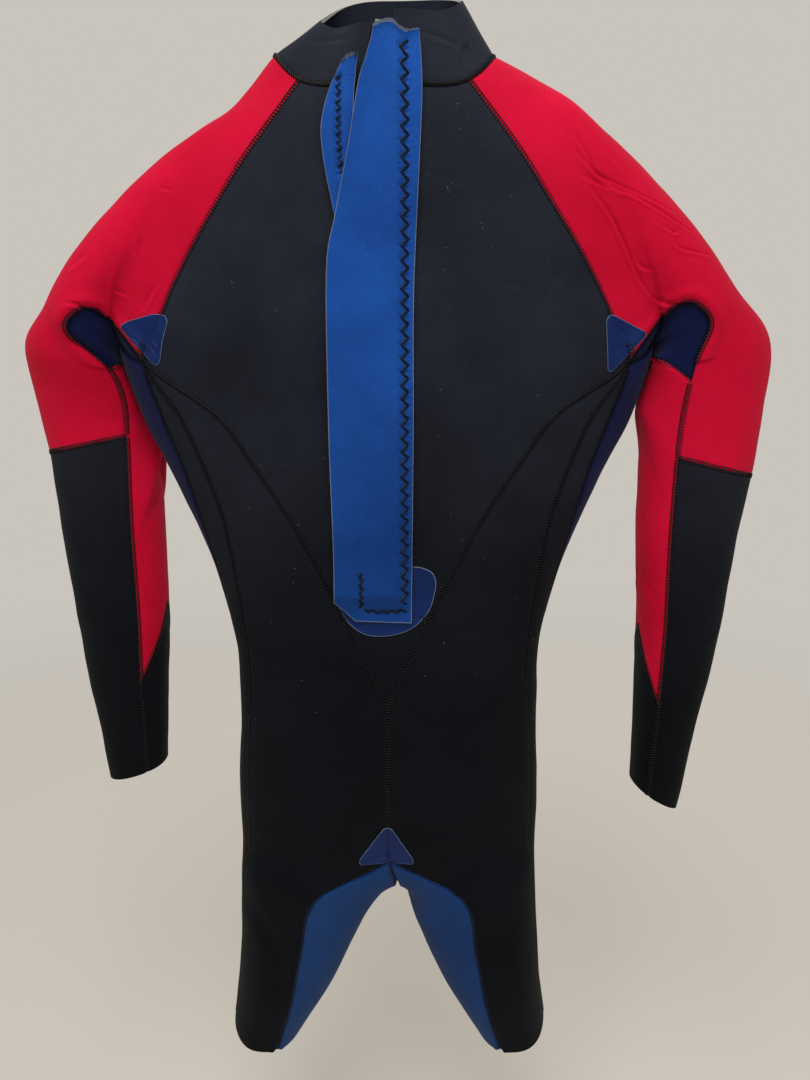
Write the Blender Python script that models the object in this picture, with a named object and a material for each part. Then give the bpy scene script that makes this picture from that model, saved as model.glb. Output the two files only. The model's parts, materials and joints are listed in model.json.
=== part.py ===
"""Long-sleeved, short-legged wetsuit with a back zip, hung up inside out.

The zip side faces -Y, +Z is up, and the origin is the hanger point in the middle of the neck.
The suit's skin is one lofted surface: rows of rings run down the body, the sleeves and the legs,
and every seam is a line that crosses those rings. Each panel between seams becomes its own solid.
"""

import math

import bmesh
import bpy
from mathutils import Matrix, Vector
from mathutils.bvhtree import BVHTree

NAME = "wetsuit"

# Driving dimensions, in metres.
SHEET = 0.003  # neoprene thickness
GAP = 0.0003  # left between touching pieces
SEAM_INSET = 0.0002  # how far each panel's edge stands back from the seam's middle
ROUNDNESS = 2.4  # superellipse exponent of the body's rings
SLEEVE_ROUNDNESS = 2.2
ZIP_HALF = 0.0085  # half the width of the opening that the zip fills
ZIP_TOP, ZIP_BASE = 0.040, -0.480
ZIP_DEPTH = 0.065  # the zip runs straight down at this half-depth

# Body rings above the armpit: height at the back, height at the front, half-width, half-depth,
# height added at the side, how sharply it is added, and how far out the raglan seam is.
SHOULDER_ROWS = [
    (-0.004, -0.028, 0.100, ZIP_DEPTH, 0.051, 4, 0.073),
    (-0.045, -0.060, 0.165, ZIP_DEPTH, 0.0, 4, 0.114),
    (-0.094, -0.098, 0.205, ZIP_DEPTH, 0.0, 4, 0.149),
    (-0.146, -0.146, 0.235, ZIP_DEPTH, 0.0, 4, 0.184),
    (-0.196, -0.196, 0.250, ZIP_DEPTH, 0.0, 4, 0.212),
    (-0.240, -0.240, 0.262, ZIP_DEPTH, 0.025, 12, 0.228),
]
ARMPIT = len(SHOULDER_ROWS) - 1
# Body rings below the armpit: height, half-width, half-depth, how far out the V seam and the
# side seam are, and the angles of the navy panel's back and front seams.
TRUNK_ROWS = [
    (-0.285, 0.245, ZIP_DEPTH, 0.160, 0.196, 59, 121),
    (-0.330, 0.225, ZIP_DEPTH, 0.127, 0.177, 60, 120),
    (-0.380, 0.203, ZIP_DEPTH, 0.094, 0.161, 66, 118),
    (-0.430, 0.183, ZIP_DEPTH, 0.067, 0.153, 74, 115),
    (-0.480, 0.169, ZIP_DEPTH, 0.042, 0.147, 84, 112),
    (-0.530, 0.161, 0.069, 0.021, 0.1425, 92, 108),
    (-0.575, 0.160, 0.073, 0.0, 0.143, 97, 104),
    (-0.620, 0.160, 0.076, 0.0, 0.146, 100, 100),
    (-0.670, 0.164, 0.077, 0.0, 0.149, 100, 100),
    (-0.715, 0.165, 0.077, 0.0, 0.150, 100, 100),
    (-0.752, 0.165, 0.077, 0.0, 0.151, 100, 100),
]
ZIP_END = ARMPIT + 5  # the row at the zip's base
APEX = ARMPIT + 7  # the row where the two V seams meet
NAVY_TIP = ARMPIT + 8  # the row where the navy side panel ends
CROTCH = ARMPIT + len(TRUNK_ROWS)  # the row where the body becomes two legs
CHEST_END = ARMPIT + 4
CROTCH_DROP = {CROTCH - 1: 0.060, CROTCH: 0.053}  # sag of the seam between the legs
CLEFT = {CROTCH - 1: 0.005, CROTCH: 0.015}  # how far the body dips in at its middle
CLEFT_HALF = 0.085  # half the width of that dip
# Leg rings: outer edge x and z, inner edge x and z, half-depth, lift of the front and back, and
# the angles from the outer edge of the side seam, of the strip's far seam and of the blue panel.
LEG_ROWS = [
    (0.166, -0.790, 0.014, -0.826, 0.076, 0.020, 26, -10, 96),
    (0.168, -0.848, 0.036, -0.870, 0.079, 0.006, 24, -11, 94),
    (0.173, -0.912, 0.063, -0.926, 0.080, 0.0, 20, -12, 98),
    (0.181, -0.978, 0.098, -0.984, 0.077, 0.0, 12, -14, 108),
]
HEM = CROTCH + len(LEG_ROWS)

# Sleeve rings, from the raglan seam to the cuff: outer edge x and z, underarm edge x and z,
# half-depth, the angle from the outer edge of the seam beside the gusset and under panel, and
# how far forward the ring's middle lies.
SLEEVE_RINGS = {
    "left": [
        (0.145, -0.011, 0.266, -0.213, 0.052, 148, 0.0),
        (0.198, -0.045, 0.270, -0.212, 0.056, 140, 0.0),
        (0.246, -0.085, 0.273, -0.213, 0.059, 125, 0.0),
        (0.290, -0.130, 0.275, -0.218, 0.060, 108, 0.0),
        (0.323, -0.176, 0.272, -0.228, 0.058, 100, 0.004),
        (0.354, -0.214, 0.259, -0.244, 0.053, 142, 0.010),
        (0.357, -0.264, 0.249, -0.272, 0.047, 140, 0.020),
        (0.352, -0.326, 0.244, -0.304, 0.044, 131, 0.026),
        (0.344, -0.408, 0.239, -0.392, 0.042, 122, 0.022),
        (0.334, -0.500, 0.239, -0.487, 0.040, 121, 0.015),
        (0.326, -0.572, 0.243, -0.564, 0.037, 121, 0.010),
        (0.317, -0.627, 0.245, -0.619, 0.033, 121, 0.006),
        (0.310, -0.682, 0.248, -0.666, 0.030, 121, 0.003),
    ],
    "right": [
        (0.147, 0.013, 0.266, -0.213, 0.052, 148, 0.0),
        (0.196, -0.024, 0.270, -0.212, 0.056, 140, 0.0),
        (0.245, -0.067, 0.274, -0.213, 0.059, 125, 0.0),
        (0.292, -0.113, 0.276, -0.217, 0.060, 108, 0.0),
        (0.331, -0.162, 0.275, -0.226, 0.058, 100, 0.0),
        (0.372, -0.212, 0.264, -0.241, 0.053, 118, 0.0),
        (0.374, -0.275, 0.259, -0.280, 0.047, 121, 0.0),
        (0.369, -0.347, 0.258, -0.320, 0.044, 121, 0.0),
        (0.360, -0.422, 0.261, -0.412, 0.042, 121, 0.0),
        (0.350, -0.517, 0.267, -0.508, 0.040, 121, 0.0),
        (0.339, -0.596, 0.269, -0.588, 0.037, 121, 0.0),
        (0.329, -0.662, 0.271, -0.645, 0.033, 121, 0.0),
        (0.321, -0.717, 0.272, -0.690, 0.030, 121, 0.0),
    ],
}
SLEEVE_JOINT = 6  # the ring where the hanging sleeve hinges on the shoulder
COLOUR_CHANGE = 8  # the ring where red becomes black
UNDER_SEAM_END, UNDER_EDGE_END = 11, 10  # where the red under panel ends, at its seam and edge
CUFF = 13
JOINT_GAP = 0.0012

# The collar narrows upwards. Its left end droops at the zip.
COLLAR_TOP = {"left": (0.058, 0.046, 0.042, 0.068), "right": (0.070, 0.046, 0.052, 0.084)}
COLLAR_FRONT_TOP = 0.101
COLLAR_ROWS = 2
# How far the left edge of the zip opening stands off the middle, by row, above the slider.
OPEN_EDGE = {"collar": 0.010, 0: 0.018, 1: 0.026, 2: 0.021}

# Columns between seams, on each half of the body.
COLUMNS = {"upper": 4, "seat": 4, "front": 4, "under": 2}
COLLAR_EDGE_COLUMNS = 1
SLEEVE_COLUMNS = ARMPIT + COLLAR_EDGE_COLUMNS

BLACK = (0.012, 0.013, 0.018)
RED = (0.62, 0.006, 0.020)
NAVY = (0.008, 0.015, 0.075)
BLUE = (0.012, 0.065, 0.30)
LEG_BLUE = (0.015, 0.045, 0.17)
THREAD = (0.008, 0.008, 0.010)


def material(name, colour, roughness=0.85, metallic=0.0):
    mat = bpy.data.materials.new(name)
    mat.use_nodes = True
    shader = mat.node_tree.nodes["Principled BSDF"]
    shader.inputs["Base Color"].default_value = (*colour, 1.0)
    shader.inputs["Roughness"].default_value = roughness
    shader.inputs["Metallic"].default_value = metallic
    return mat


def bent(value, exponent):
    """A sine or cosine raised to the superellipse's power, with its sign kept."""
    return math.copysign(abs(value) ** (2 / exponent), value)


def body_angle(x, half_width):
    """The ring angle, from the back's middle, of a point that far out."""
    return math.degrees(math.asin(min(1.0, (x / half_width) ** (ROUNDNESS / 2))))


def trunk_row(row):
    return TRUNK_ROWS[row - ARMPIT - 1]


def ring_point(row, degrees):
    """A point on a body ring, on the +X half: 0 is the back's middle and 180 the front's."""
    a = math.radians(degrees)
    if row <= ARMPIT:
        z_back, z_front, width, depth, lift, power, _ = SHOULDER_ROWS[row]
        share = (1 - math.cos(a)) / 2
        z = z_back + (z_front - z_back) * share + lift * math.sin(a) ** power
    else:
        z, width, depth = trunk_row(row)[:3]
    x = width * bent(math.sin(a), ROUNDNESS)
    depth -= CLEFT.get(row, 0.0) * max(0.0, 1 - x / CLEFT_HALF) ** 2
    return Vector((x, -depth * bent(math.cos(a), ROUNDNESS), z))


def seam_angles(row):
    """The ring angles of the V seam, the side seam, and the navy panel's back and front seams."""
    if row <= ARMPIT:
        out = body_angle(SHOULDER_ROWS[row][6], SHOULDER_ROWS[row][2])
        return out, out, out, 180 - out
    _, width, _, v_out, side_out, navy_back, navy_front = trunk_row(row)
    return body_angle(v_out, width), body_angle(side_out, width), navy_back, navy_front


def leg_point(row, degrees):
    """A point on a leg ring: 0 is the outer edge, 90 the back and 180 the inner edge."""
    x_out, z_out, x_in, z_in, depth, lift = LEG_ROWS[row - CROTCH - 1][:6]
    a = math.radians(degrees)
    across, back = bent(math.cos(a), ROUNDNESS), bent(math.sin(a), ROUNDNESS)
    middle = Vector(((x_out + x_in) / 2, 0, (z_out + z_in) / 2))
    reach = Vector(((x_out - x_in) / 2, 0, (z_out - z_in) / 2))
    return middle + reach * across + Vector((0, -depth * back, lift * abs(back)))


def crotch_point(row, share):
    """A point on the seam between the legs, from back to front."""
    z, _, depth = trunk_row(row)[:3]
    depth -= CLEFT[row]
    turn = math.pi * share
    return Vector((0, -depth * math.cos(turn), z - CROTCH_DROP[row] * math.sin(turn)))


def between(first, last, share):
    return first + (last - first) * share


# Each of these gives a panel's point on the +X half, from its row and its share across.


def upper_back(row, share, side):
    edge = ZIP_HALF
    if side == "left":
        edge = max(edge, OPEN_EDGE.get(row, 0.0))
    width = SHOULDER_ROWS[row][2] if row <= ARMPIT else trunk_row(row)[1]
    edge *= max(0.0, min(1.0, (APEX - row) / (APEX - ZIP_END)))
    return ring_point(row, between(body_angle(edge, width), seam_angles(row)[0], share))


def gore(row, share, side):
    """The gore under the zip, from the middle to the V seam."""
    split = 1 / (COLUMNS["upper"] + 1)
    if share >= split:
        return upper_back(row, (share - split) / (1 - split), "right")
    return between(ring_point(row, 0), upper_back(row, 0, "right"), share / split)


def seat(row, share, side):
    if row <= CROTCH:
        v_seam, side_seam = seam_angles(row)[:2]
        return ring_point(row, between(v_seam, side_seam, share))
    side_seam, _, blue = LEG_ROWS[row - CROTCH - 1][6:]
    return leg_point(row, between(blue, side_seam, share))


def strip(row, share, side):
    if row <= CROTCH:
        return ring_point(row, between(*seam_angles(row)[1:3], share))
    return leg_point(row, between(*LEG_ROWS[row - CROTCH - 1][6:8], share))


def navy(row, share, side):
    return ring_point(row, between(*seam_angles(row)[2:], share))


def front(row, share, side):
    if row <= CROTCH:
        return ring_point(row, between(seam_angles(row)[3], 180, share))
    _, strip_seam, blue = LEG_ROWS[row - CROTCH - 1][6:]
    return leg_point(row, between(strip_seam, -blue, share))


def inner_leg(row, share, side):
    if row <= CROTCH:
        return crotch_point(row, share)
    blue = LEG_ROWS[row - CROTCH - 1][8]
    return leg_point(row, between(blue, 360 - blue, share))


def sleeve_ring_point(side, ring, degrees):
    x_out, z_out, x_in, z_in, depth, _, forward = SLEEVE_RINGS[side][ring - 1]
    a = math.radians(degrees)
    across, back = bent(math.cos(a), SLEEVE_ROUNDNESS), bent(math.sin(a), SLEEVE_ROUNDNESS)
    middle = Vector(((x_out + x_in) / 2, forward, (z_out + z_in) / 2))
    reach = Vector(((x_out - x_in) / 2, 0, (z_out - z_in) / 2))
    return middle + reach * across + Vector((0, -depth * back, 0))


def under_angle(side, ring):
    return SLEEVE_RINGS[side][ring - 1][5]


def sleeve_top(ring, share, side):
    """The sleeve's outer part: -1 is its front seam, 0 its outer edge and 1 its back seam."""
    if ring > 0:
        return sleeve_ring_point(side, ring, share * under_angle(side, ring))
    steps = abs(share) * SLEEVE_COLUMNS
    if steps <= COLLAR_EDGE_COLUMNS:
        corner = seam_angles(0)[0]
        angle = between(90, corner, steps / COLLAR_EDGE_COLUMNS)
        point = ring_point(0, angle if share >= 0 else 180 - angle)
    else:
        row = round(steps - COLLAR_EDGE_COLUMNS)
        angle = seam_angles(row)[0]
        point = ring_point(row, angle if share >= 0 else 180 - angle)
    return point


def sleeve_under(ring, share, side):
    """The sleeve's underarm part: -1 is its back seam, 0 the inner edge and 1 its front seam."""
    if ring > 0:
        half = 180 - under_angle(side, ring)
        return sleeve_ring_point(side, ring, 180 + share * half)
    corner = seam_angles(ARMPIT)[0]
    return ring_point(ARMPIT, 90 + share * (90 - corner))


def ring_at(function, ring, share, side):
    """A point between two rings."""
    low = min(int(math.floor(ring)), CUFF - 1)
    return function(low, share, side).lerp(function(low + 1, share, side), ring - low)


def collar(row, share, side):
    """The collar band, from the zip at the back to the front's middle."""
    top_width, top_depth, top_back, top_side = COLLAR_TOP[side]
    width, depth = SHOULDER_ROWS[0][2:4]
    foot_edge = OPEN_EDGE[0] if side == "left" else ZIP_HALF
    head_edge = OPEN_EDGE["collar"] if side == "left" else ZIP_HALF
    corner = seam_angles(0)[0]
    stops = [body_angle(foot_edge, width), corner, 90, 180 - corner, 180]
    columns = [COLUMNS["upper"], COLLAR_EDGE_COLUMNS, COLLAR_EDGE_COLUMNS, COLUMNS["front"]]
    steps = share * sum(columns)
    part = 0
    while part < 3 and steps > columns[part] + 1e-6:
        steps -= columns[part]
        part += 1
    angle = between(stops[part], stops[part + 1], steps / columns[part])
    foot = ring_point(0, angle)
    a = math.radians(angle)
    if part == 0:
        head_start = body_angle(head_edge, top_width)
        a = math.radians(between(head_start, corner, steps / columns[0]))
    blend = (1 - math.cos(a)) / 2
    z = between(top_back, COLLAR_FRONT_TOP, blend)
    z += (top_side - between(top_back, COLLAR_FRONT_TOP, 0.5)) * math.sin(a) ** 2
    across, back = bent(math.sin(a), ROUNDNESS), bent(math.cos(a), ROUNDNESS)
    head = Vector((top_width * across, -top_depth * back, z))
    if part == 0:
        head.y = between(foot.y, head.y, max(0.0, steps - 1) / (columns[0] - 1))
    return foot.lerp(head, row / COLLAR_ROWS)


def shares(columns):
    return [i / columns for i in range(columns + 1)]


def grid(function, rows, across, side):
    """A panel's points, row by row, on its own side of the body."""
    sign = -1 if side == "left" else 1
    points = []
    for row in rows:
        line = [function(row, share, side) for share in across]
        points.append([Vector((sign * p.x, p.y, p.z)) for p in line])
    return points


def both(function, rows, columns, end):
    """The left and right halves of a panel that crosses the middle, at its shares' end or start."""
    left, right = (grid(function, rows, shares(columns), side) for side in ("left", "right"))
    if end:
        return [a + b[::-1][1:] for a, b in zip(left, right)]
    return [a[::-1] + b[1:] for a, b in zip(left, right)]


def panels():
    """Every panel's grid of points, by name."""
    made = {}
    for side in ("left", "right"):
        upper, across = shares(COLUMNS["upper"]), shares(COLUMNS["seat"])
        down, leg = range(ARMPIT, HEM + 1), range(CROTCH, HEM + 1)
        made[f"back_upper_{side}"] = grid(upper_back, range(ZIP_END + 1), upper, side)
        made[f"back_lower_{side}"] = grid(seat, down, across, side)
        made[f"side_strip_{side}"] = grid(strip, down, shares(2), side)
        made[f"side_panel_{side}"] = grid(navy, range(ARMPIT, NAVY_TIP + 1), across, side)
        made[f"front_lower_{side}"] = grid(front, range(CHEST_END, HEM + 1), across, side)
        made[f"inner_leg_{side}"] = grid(inner_leg, leg, across, side)
        top = [-1 + i / SLEEVE_COLUMNS for i in range(2 * SLEEVE_COLUMNS + 1)]
        under = [-1 + i / COLUMNS["under"] for i in range(2 * COLUMNS["under"] + 1)]
        made[f"shoulder_{side}"] = grid(sleeve_top, range(SLEEVE_JOINT + 1), top, side)
        red = range(SLEEVE_JOINT, COLOUR_CHANGE + 1)
        made[f"upper_arm_{side}"] = grid(sleeve_top, red, top, side)
        made[f"forearm_{side}"] = grid(sleeve_top, range(COLOUR_CHANGE, CUFF + 1), top, side)
        made[f"gusset_{side}"] = grid(sleeve_under, range(SLEEVE_JOINT + 1), under, side)
        made[f"under_sleeve_{side}"] = under_grid(side, under, True)
        made[f"wrist_{side}"] = under_grid(side, under, False)
    chest_rows, gore_rows, collar_rows = CHEST_END + 1, range(ZIP_END, APEX + 1), COLLAR_ROWS + 1
    made["front_chest"] = both(front, range(chest_rows), COLUMNS["front"], True)
    made["zip_gore"] = both(gore, gore_rows, COLUMNS["upper"] + 1, False)
    around = COLUMNS["upper"] + 2 * COLLAR_EDGE_COLUMNS + COLUMNS["front"]
    made["collar"] = both(collar, range(collar_rows), around, True)
    return made


def under_grid(side, across, red):
    """The red under panel down to its slanting end, or the black wrist panel below it."""
    steps = UNDER_SEAM_END - SLEEVE_JOINT if red else CUFF - UNDER_SEAM_END
    sign = -1 if side == "left" else 1
    points = []
    for i in range(steps + 1):
        line = []
        for share in across:
            seam_end = between(UNDER_EDGE_END, UNDER_SEAM_END, abs(share))
            start, end = (SLEEVE_JOINT, seam_end) if red else (seam_end, CUFF)
            p = ring_at(sleeve_under, between(start, end, i / steps), share, side)
            line.append(Vector((sign * p.x, p.y, p.z)))
        points.append(line)
    return points


class Skin:
    """The whole suit's surface, welded along its seams, with every panel's faces."""

    def __init__(self, grids):
        self.points, self.index, self.faces = [], {}, {}
        for name, rows in grids.items():
            ids = [[self.number(p) for p in line] for line in rows]
            self.faces[name] = self.quads(ids)
        self.face_out()

    def number(self, point):
        key = tuple(round(c, 5) for c in point)
        if key not in self.index:
            self.index[key] = len(self.points)
            self.points.append(point)
        return self.index[key]

    def quads(self, ids):
        made = []
        for a, b in zip(ids, ids[1:]):
            for i in range(len(a) - 1):
                corners = list(dict.fromkeys([a[i], a[i + 1], b[i + 1], b[i]]))
                if len(corners) > 2:
                    made.append(corners)
        return made

    def face_out(self):
        """Turns every face outwards, and keeps each point's normal."""
        mesh = bmesh.new()
        verts = [mesh.verts.new(p) for p in self.points]
        owners = []
        for name, faces in self.faces.items():
            for face in faces:
                mesh.faces.new([verts[i] for i in face])
                owners.append(name)
        bmesh.ops.recalc_face_normals(mesh, faces=mesh.faces)
        mesh.faces.ensure_lookup_table()
        chest = mesh.faces[owners.index("front_chest")]
        if chest.normal.y < 0:
            bmesh.ops.reverse_faces(mesh, faces=mesh.faces)
        mesh.verts.index_update()
        mesh.normal_update()
        self.faces = {name: [] for name in self.faces}
        for face, name in zip(mesh.faces, owners):
            self.faces[name].append([v.index for v in face.verts])
        self.normals = [v.normal.copy() for v in mesh.verts]
        self.tree = BVHTree.FromBMesh(mesh)
        mesh.free()

    def solid(self, name, shift=None):
        """A panel's sheet: its faces, pulled in a little from the seams, and made 3 mm thick."""
        faces = self.faces[name]
        used = sorted({i for face in faces for i in face})
        edges = {}
        for face in faces:
            for a, b in zip(face, face[1:] + face[:1]):
                edges[(a, b)] = face
        rim = [pair for pair in edges if (pair[1], pair[0]) not in edges]
        on_rim = {i for pair in rim for i in pair}
        outer, inner = {}, {}
        mesh = bmesh.new()
        for i in used:
            point = self.points[i].copy()
            if i in on_rim:
                point += self.inward(i, rim) * SEAM_INSET
            if shift:
                point += shift(i, point)
            outer[i] = mesh.verts.new(point)
            inner[i] = mesh.verts.new(point - self.normals[i] * SHEET)
        for face in faces:
            mesh.faces.new([outer[i] for i in face])
            mesh.faces.new([inner[i] for i in reversed(face)])
        for a, b in rim:
            self.wall(mesh, outer, inner, a, b)
        return mesh

    def wall(self, mesh, outer, inner, a, b):
        """A seam's cut edge, split the same way whichever of its two panels it belongs to."""
        if a < b:
            mesh.faces.new([outer[b], outer[a], inner[b]])
            mesh.faces.new([outer[a], inner[a], inner[b]])
        else:
            mesh.faces.new([outer[b], outer[a], inner[a]])
            mesh.faces.new([outer[b], inner[a], inner[b]])

    def inward(self, i, rim):
        """How far and which way a rim point moves to draw both of its rim edges in by one unit."""
        ways = []
        for a, b in rim:
            if i in (a, b):
                ways.append(self.normals[i].cross(self.points[b] - self.points[a]).normalized())
        total = sum(ways, Vector())
        return total / max(0.5, 0.5 * total.length_squared)


def place(mesh, name, mat, collection):
    data = bpy.data.meshes.new(name)
    mesh.to_mesh(data)
    mesh.free()
    obj = bpy.data.objects.new(name, data)
    data.materials.append(mat)
    collection.objects.link(obj)
    return obj


def set_origin(name, point):
    """Puts a moving piece's origin on its joint's axis, and leaves the piece where it is."""
    obj = bpy.data.objects[name]
    obj.data.transform(Matrix.Translation(-Vector(point)))
    obj.location = point


def patch(skin, name, outline, mat, collection, nest=0.0008, cells=0.011):
    """A thin glued patch: a flat outline laid on the skin from behind, as (x, z) corners."""
    mesh = bmesh.new()
    corners = [mesh.verts.new((x, 0, z)) for x, z in outline]
    mesh.faces.new(corners)
    longest = max(e.calc_length() for e in mesh.edges)
    bmesh.ops.triangulate(mesh, faces=mesh.faces)
    for _ in range(max(1, math.ceil(math.log2(longest / cells)))):
        bmesh.ops.subdivide_edges(mesh, edges=mesh.edges, cuts=1, use_grid_fill=True)
    bmesh.ops.triangulate(mesh, faces=mesh.faces)
    for v in mesh.verts:
        hit = skin.tree.ray_cast(Vector((v.co.x, -1, v.co.z)), Vector((0, 1, 0)))[0]
        v.co.y = min(hit.y, -ZIP_DEPTH) if abs(v.co.x) < 2 * ZIP_HALF else hit.y
    mesh.normal_update()
    if sum(f.normal.y for f in mesh.faces) > 0:
        bmesh.ops.reverse_faces(mesh, faces=mesh.faces)
    lifted = bmesh.new()
    low = {v: lifted.verts.new(v.co + Vector((0, -nest, 0))) for v in mesh.verts}
    high = {v: lifted.verts.new(v.co + Vector((0, -nest - PATCH_FILM, 0))) for v in mesh.verts}
    for face in mesh.faces:
        lifted.faces.new([high[v] for v in face.verts])
        lifted.faces.new([low[v] for v in reversed(face.verts)])
    for edge in mesh.edges:
        if edge.is_boundary:
            loop = edge.link_loops[0]
            a, b = loop.vert, loop.link_loop_next.vert
            lifted.faces.new([high[b], high[a], low[a], low[b]])
    mesh.free()
    return place(lifted, name, mat, collection)


def box(name, low, high, mat, collection):
    mesh = bmesh.new()
    bmesh.ops.create_cube(mesh, size=1.0)
    low, high = [min(c) for c in zip(low, high)], [max(c) for c in zip(low, high)]
    size = Vector(high) - Vector(low)
    for v in mesh.verts:
        v.co = Vector(low) + Vector([(c + 0.5) * s for c, s in zip(v.co, size)])
    return place(mesh, name, mat, collection)


def plate(name, outline, y_back, y_front, mat, collection):
    """A flat sheet in the XZ plane, from an outline of (x, z) corners."""
    mesh = bmesh.new()
    face = mesh.faces.new([mesh.verts.new((x, y_back, z)) for x, z in outline])
    swept = bmesh.ops.extrude_face_region(mesh, geom=[face])["geom"]
    for v in swept:
        if isinstance(v, bmesh.types.BMVert):
            v.co.y = y_front
    bmesh.ops.recalc_face_normals(mesh, faces=mesh.faces)
    return place(mesh, name, mat, collection)


def ribbon(name, stations, y_low, y_high, mat, collection):
    """A flat strip that follows (x_near, x_far, z) stations downwards."""
    outline = [(near, z) for near, _, z in stations] + [(far, z) for _, far, z in reversed(stations)]
    return plate(name, outline, y_low, y_high, mat, collection)


BODY_COLOURS = {
    "back_upper": BLACK,
    "back_lower": BLACK,
    "side_strip": BLACK,
    "side_panel": NAVY,
    "front_lower": BLACK,
    "inner_leg": LEG_BLUE,
    "shoulder": RED,
    "upper_arm": RED,
    "forearm": BLACK,
    "gusset": NAVY,
    "under_sleeve": RED,
    "wrist": BLACK,
    "front_chest": BLACK,
    "zip_gore": BLACK,
    "collar": BLACK,
}
SLEEVE_PANELS = ("upper_arm", "forearm", "under_sleeve", "wrist")


def sheet_panels(skin, collection):
    for name in skin.faces:
        kind = name.rsplit("_", 1)[0] if name.endswith(("left", "right")) else name
        shift = None
        if kind in SLEEVE_PANELS:
            shift = joint_shift(skin, name)
        mat = material(name, BODY_COLOURS[kind])
        place(skin.solid(name, shift), name, mat, collection)


def joint_shift(skin, name):
    """Draws the sleeve's top edge down, which leaves the shoulder joint its clearance."""
    side = name.rsplit("_", 1)[1]
    sign = -1 if side == "left" else 1
    x_out, z_out, x_in, z_in = SLEEVE_RINGS[side][SLEEVE_JOINT - 1][:4]
    corner = Vector((sign * x_out, 0, z_out))
    along = Vector((sign * (x_in - x_out), 0, z_in - z_out)).normalized()
    down = Vector((-along.z * sign, 0, along.x * sign))
    if down.z > 0:
        down.negate()

    def shift(i, point):
        away = (skin.points[i] - corner).dot(down)
        return down * JOINT_GAP if abs(away) < 1e-4 else Vector()

    return shift


# The flaps over the zip, as (x, z) corners in metres, seen from the back.
UNDERLAP_SEWN_X, UNDERLAP_TOP, UNDERLAP_FOOT = 0.026, 0.035, -0.482
UNDERLAP_FREE_EDGE = [(-0.004, 0.035), (-0.018, 0.010), (-0.029, -0.036), (-0.034, -0.083)]
UNDERLAP_FREE_EDGE += [(-0.044, -0.115), (-0.052, -0.182), (-0.051, -0.415)]
FOLD_TOP, FOLD_FOOT = (UNDERLAP_SEWN_X, UNDERLAP_TOP), (-0.051, -0.452)
FOLD_CLEARANCE = 0.0006
UNDERLAP_Y = -0.0745  # the face nearer the body
GUARD = [(-0.024, 0.020), (-0.034, 0.011), (-0.046, -0.011), (-0.054, -0.038), (-0.052, -0.066)]
GUARD += [(-0.046, -0.098), (-0.040, -0.128), (-0.034, -0.150), (-0.0275, -0.150)]
GUARD += [(-0.0275, -0.098), (-0.0275, -0.038)]
GUARD_Y = -0.0693
# Glued patches, as (x, z) corners with clipped points.
ARMPIT_PATCH = [(0.204, -0.196), (0.210, -0.189), (0.218, -0.190), (0.244, -0.199)]
ARMPIT_PATCH += [(0.247, -0.206), (0.232, -0.237), (0.226, -0.242), (0.219, -0.240)]
ARMPIT_PATCH += [(0.206, -0.205)]
CROTCH_PATCH = [(-0.004, -0.705), (0.004, -0.705), (0.027, -0.744), (0.027, -0.750)]
CROTCH_PATCH += [(0.0, -0.752), (-0.030, -0.750), (-0.030, -0.744)]
BASE_PATCH = [(0.034, -0.428), (0.046, -0.434), (0.049, -0.446), (0.043, -0.474)]
BASE_PATCH += [(0.024, -0.493), (0.0, -0.499), (-0.022, -0.498), (-0.040, -0.484)]
BASE_PATCH += [(-0.052, -0.460), (-0.040, -0.440), (-0.012, -0.430), (0.012, -0.428)]
PATCH_FILM = 0.0008


def zip_flaps(collection):
    """The long underlap folds along the line between the far ends of its two sewn edges."""
    fold = Vector((FOLD_TOP[0] - FOLD_FOOT[0], FOLD_TOP[1] - FOLD_FOOT[1]))
    across = Vector((fold.y, -fold.x)).normalized() * FOLD_CLEARANCE
    leaf = [FOLD_TOP, *UNDERLAP_FREE_EDGE, FOLD_FOOT]
    corner, foot = (UNDERLAP_SEWN_X, UNDERLAP_FOOT), (-0.033, UNDERLAP_FOOT)
    sewn_top = (FOLD_TOP[0], FOLD_TOP[1] - FOLD_CLEARANCE * fold.length / abs(fold.x))
    base = [(FOLD_FOOT[0] + across.x, FOLD_FOOT[1] + across.y), foot, corner, sewn_top]
    faces = UNDERLAP_Y, UNDERLAP_Y - SHEET
    plate("zip_underlap_leaf", leaf, *faces, material("zip_underlap_leaf", BLUE), collection)
    plate("zip_underlap_base", base, *faces, material("zip_underlap_base", BLUE), collection)
    guard = material("zip_guard", BLUE)
    plate("zip_guard", GUARD, GUARD_Y, GUARD_Y - 0.002, guard, collection)


def patches(skin, collection):
    for side, sign in (("left", -1), ("right", 1)):
        outline = [(sign * x, z) for x, z in ARMPIT_PATCH]
        name = f"armpit_patch_{side}"
        patch(skin, name, outline, material(name, BLUE, 0.5), collection, 0.0013)
    blue = material("crotch_patch", BLUE, 0.5)
    patch(skin, "crotch_patch", CROTCH_PATCH, blue, collection)
    blue = material("zip_base_patch", BLUE, 0.5)
    patch(skin, "zip_base_patch", BASE_PATCH, blue, collection)


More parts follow.
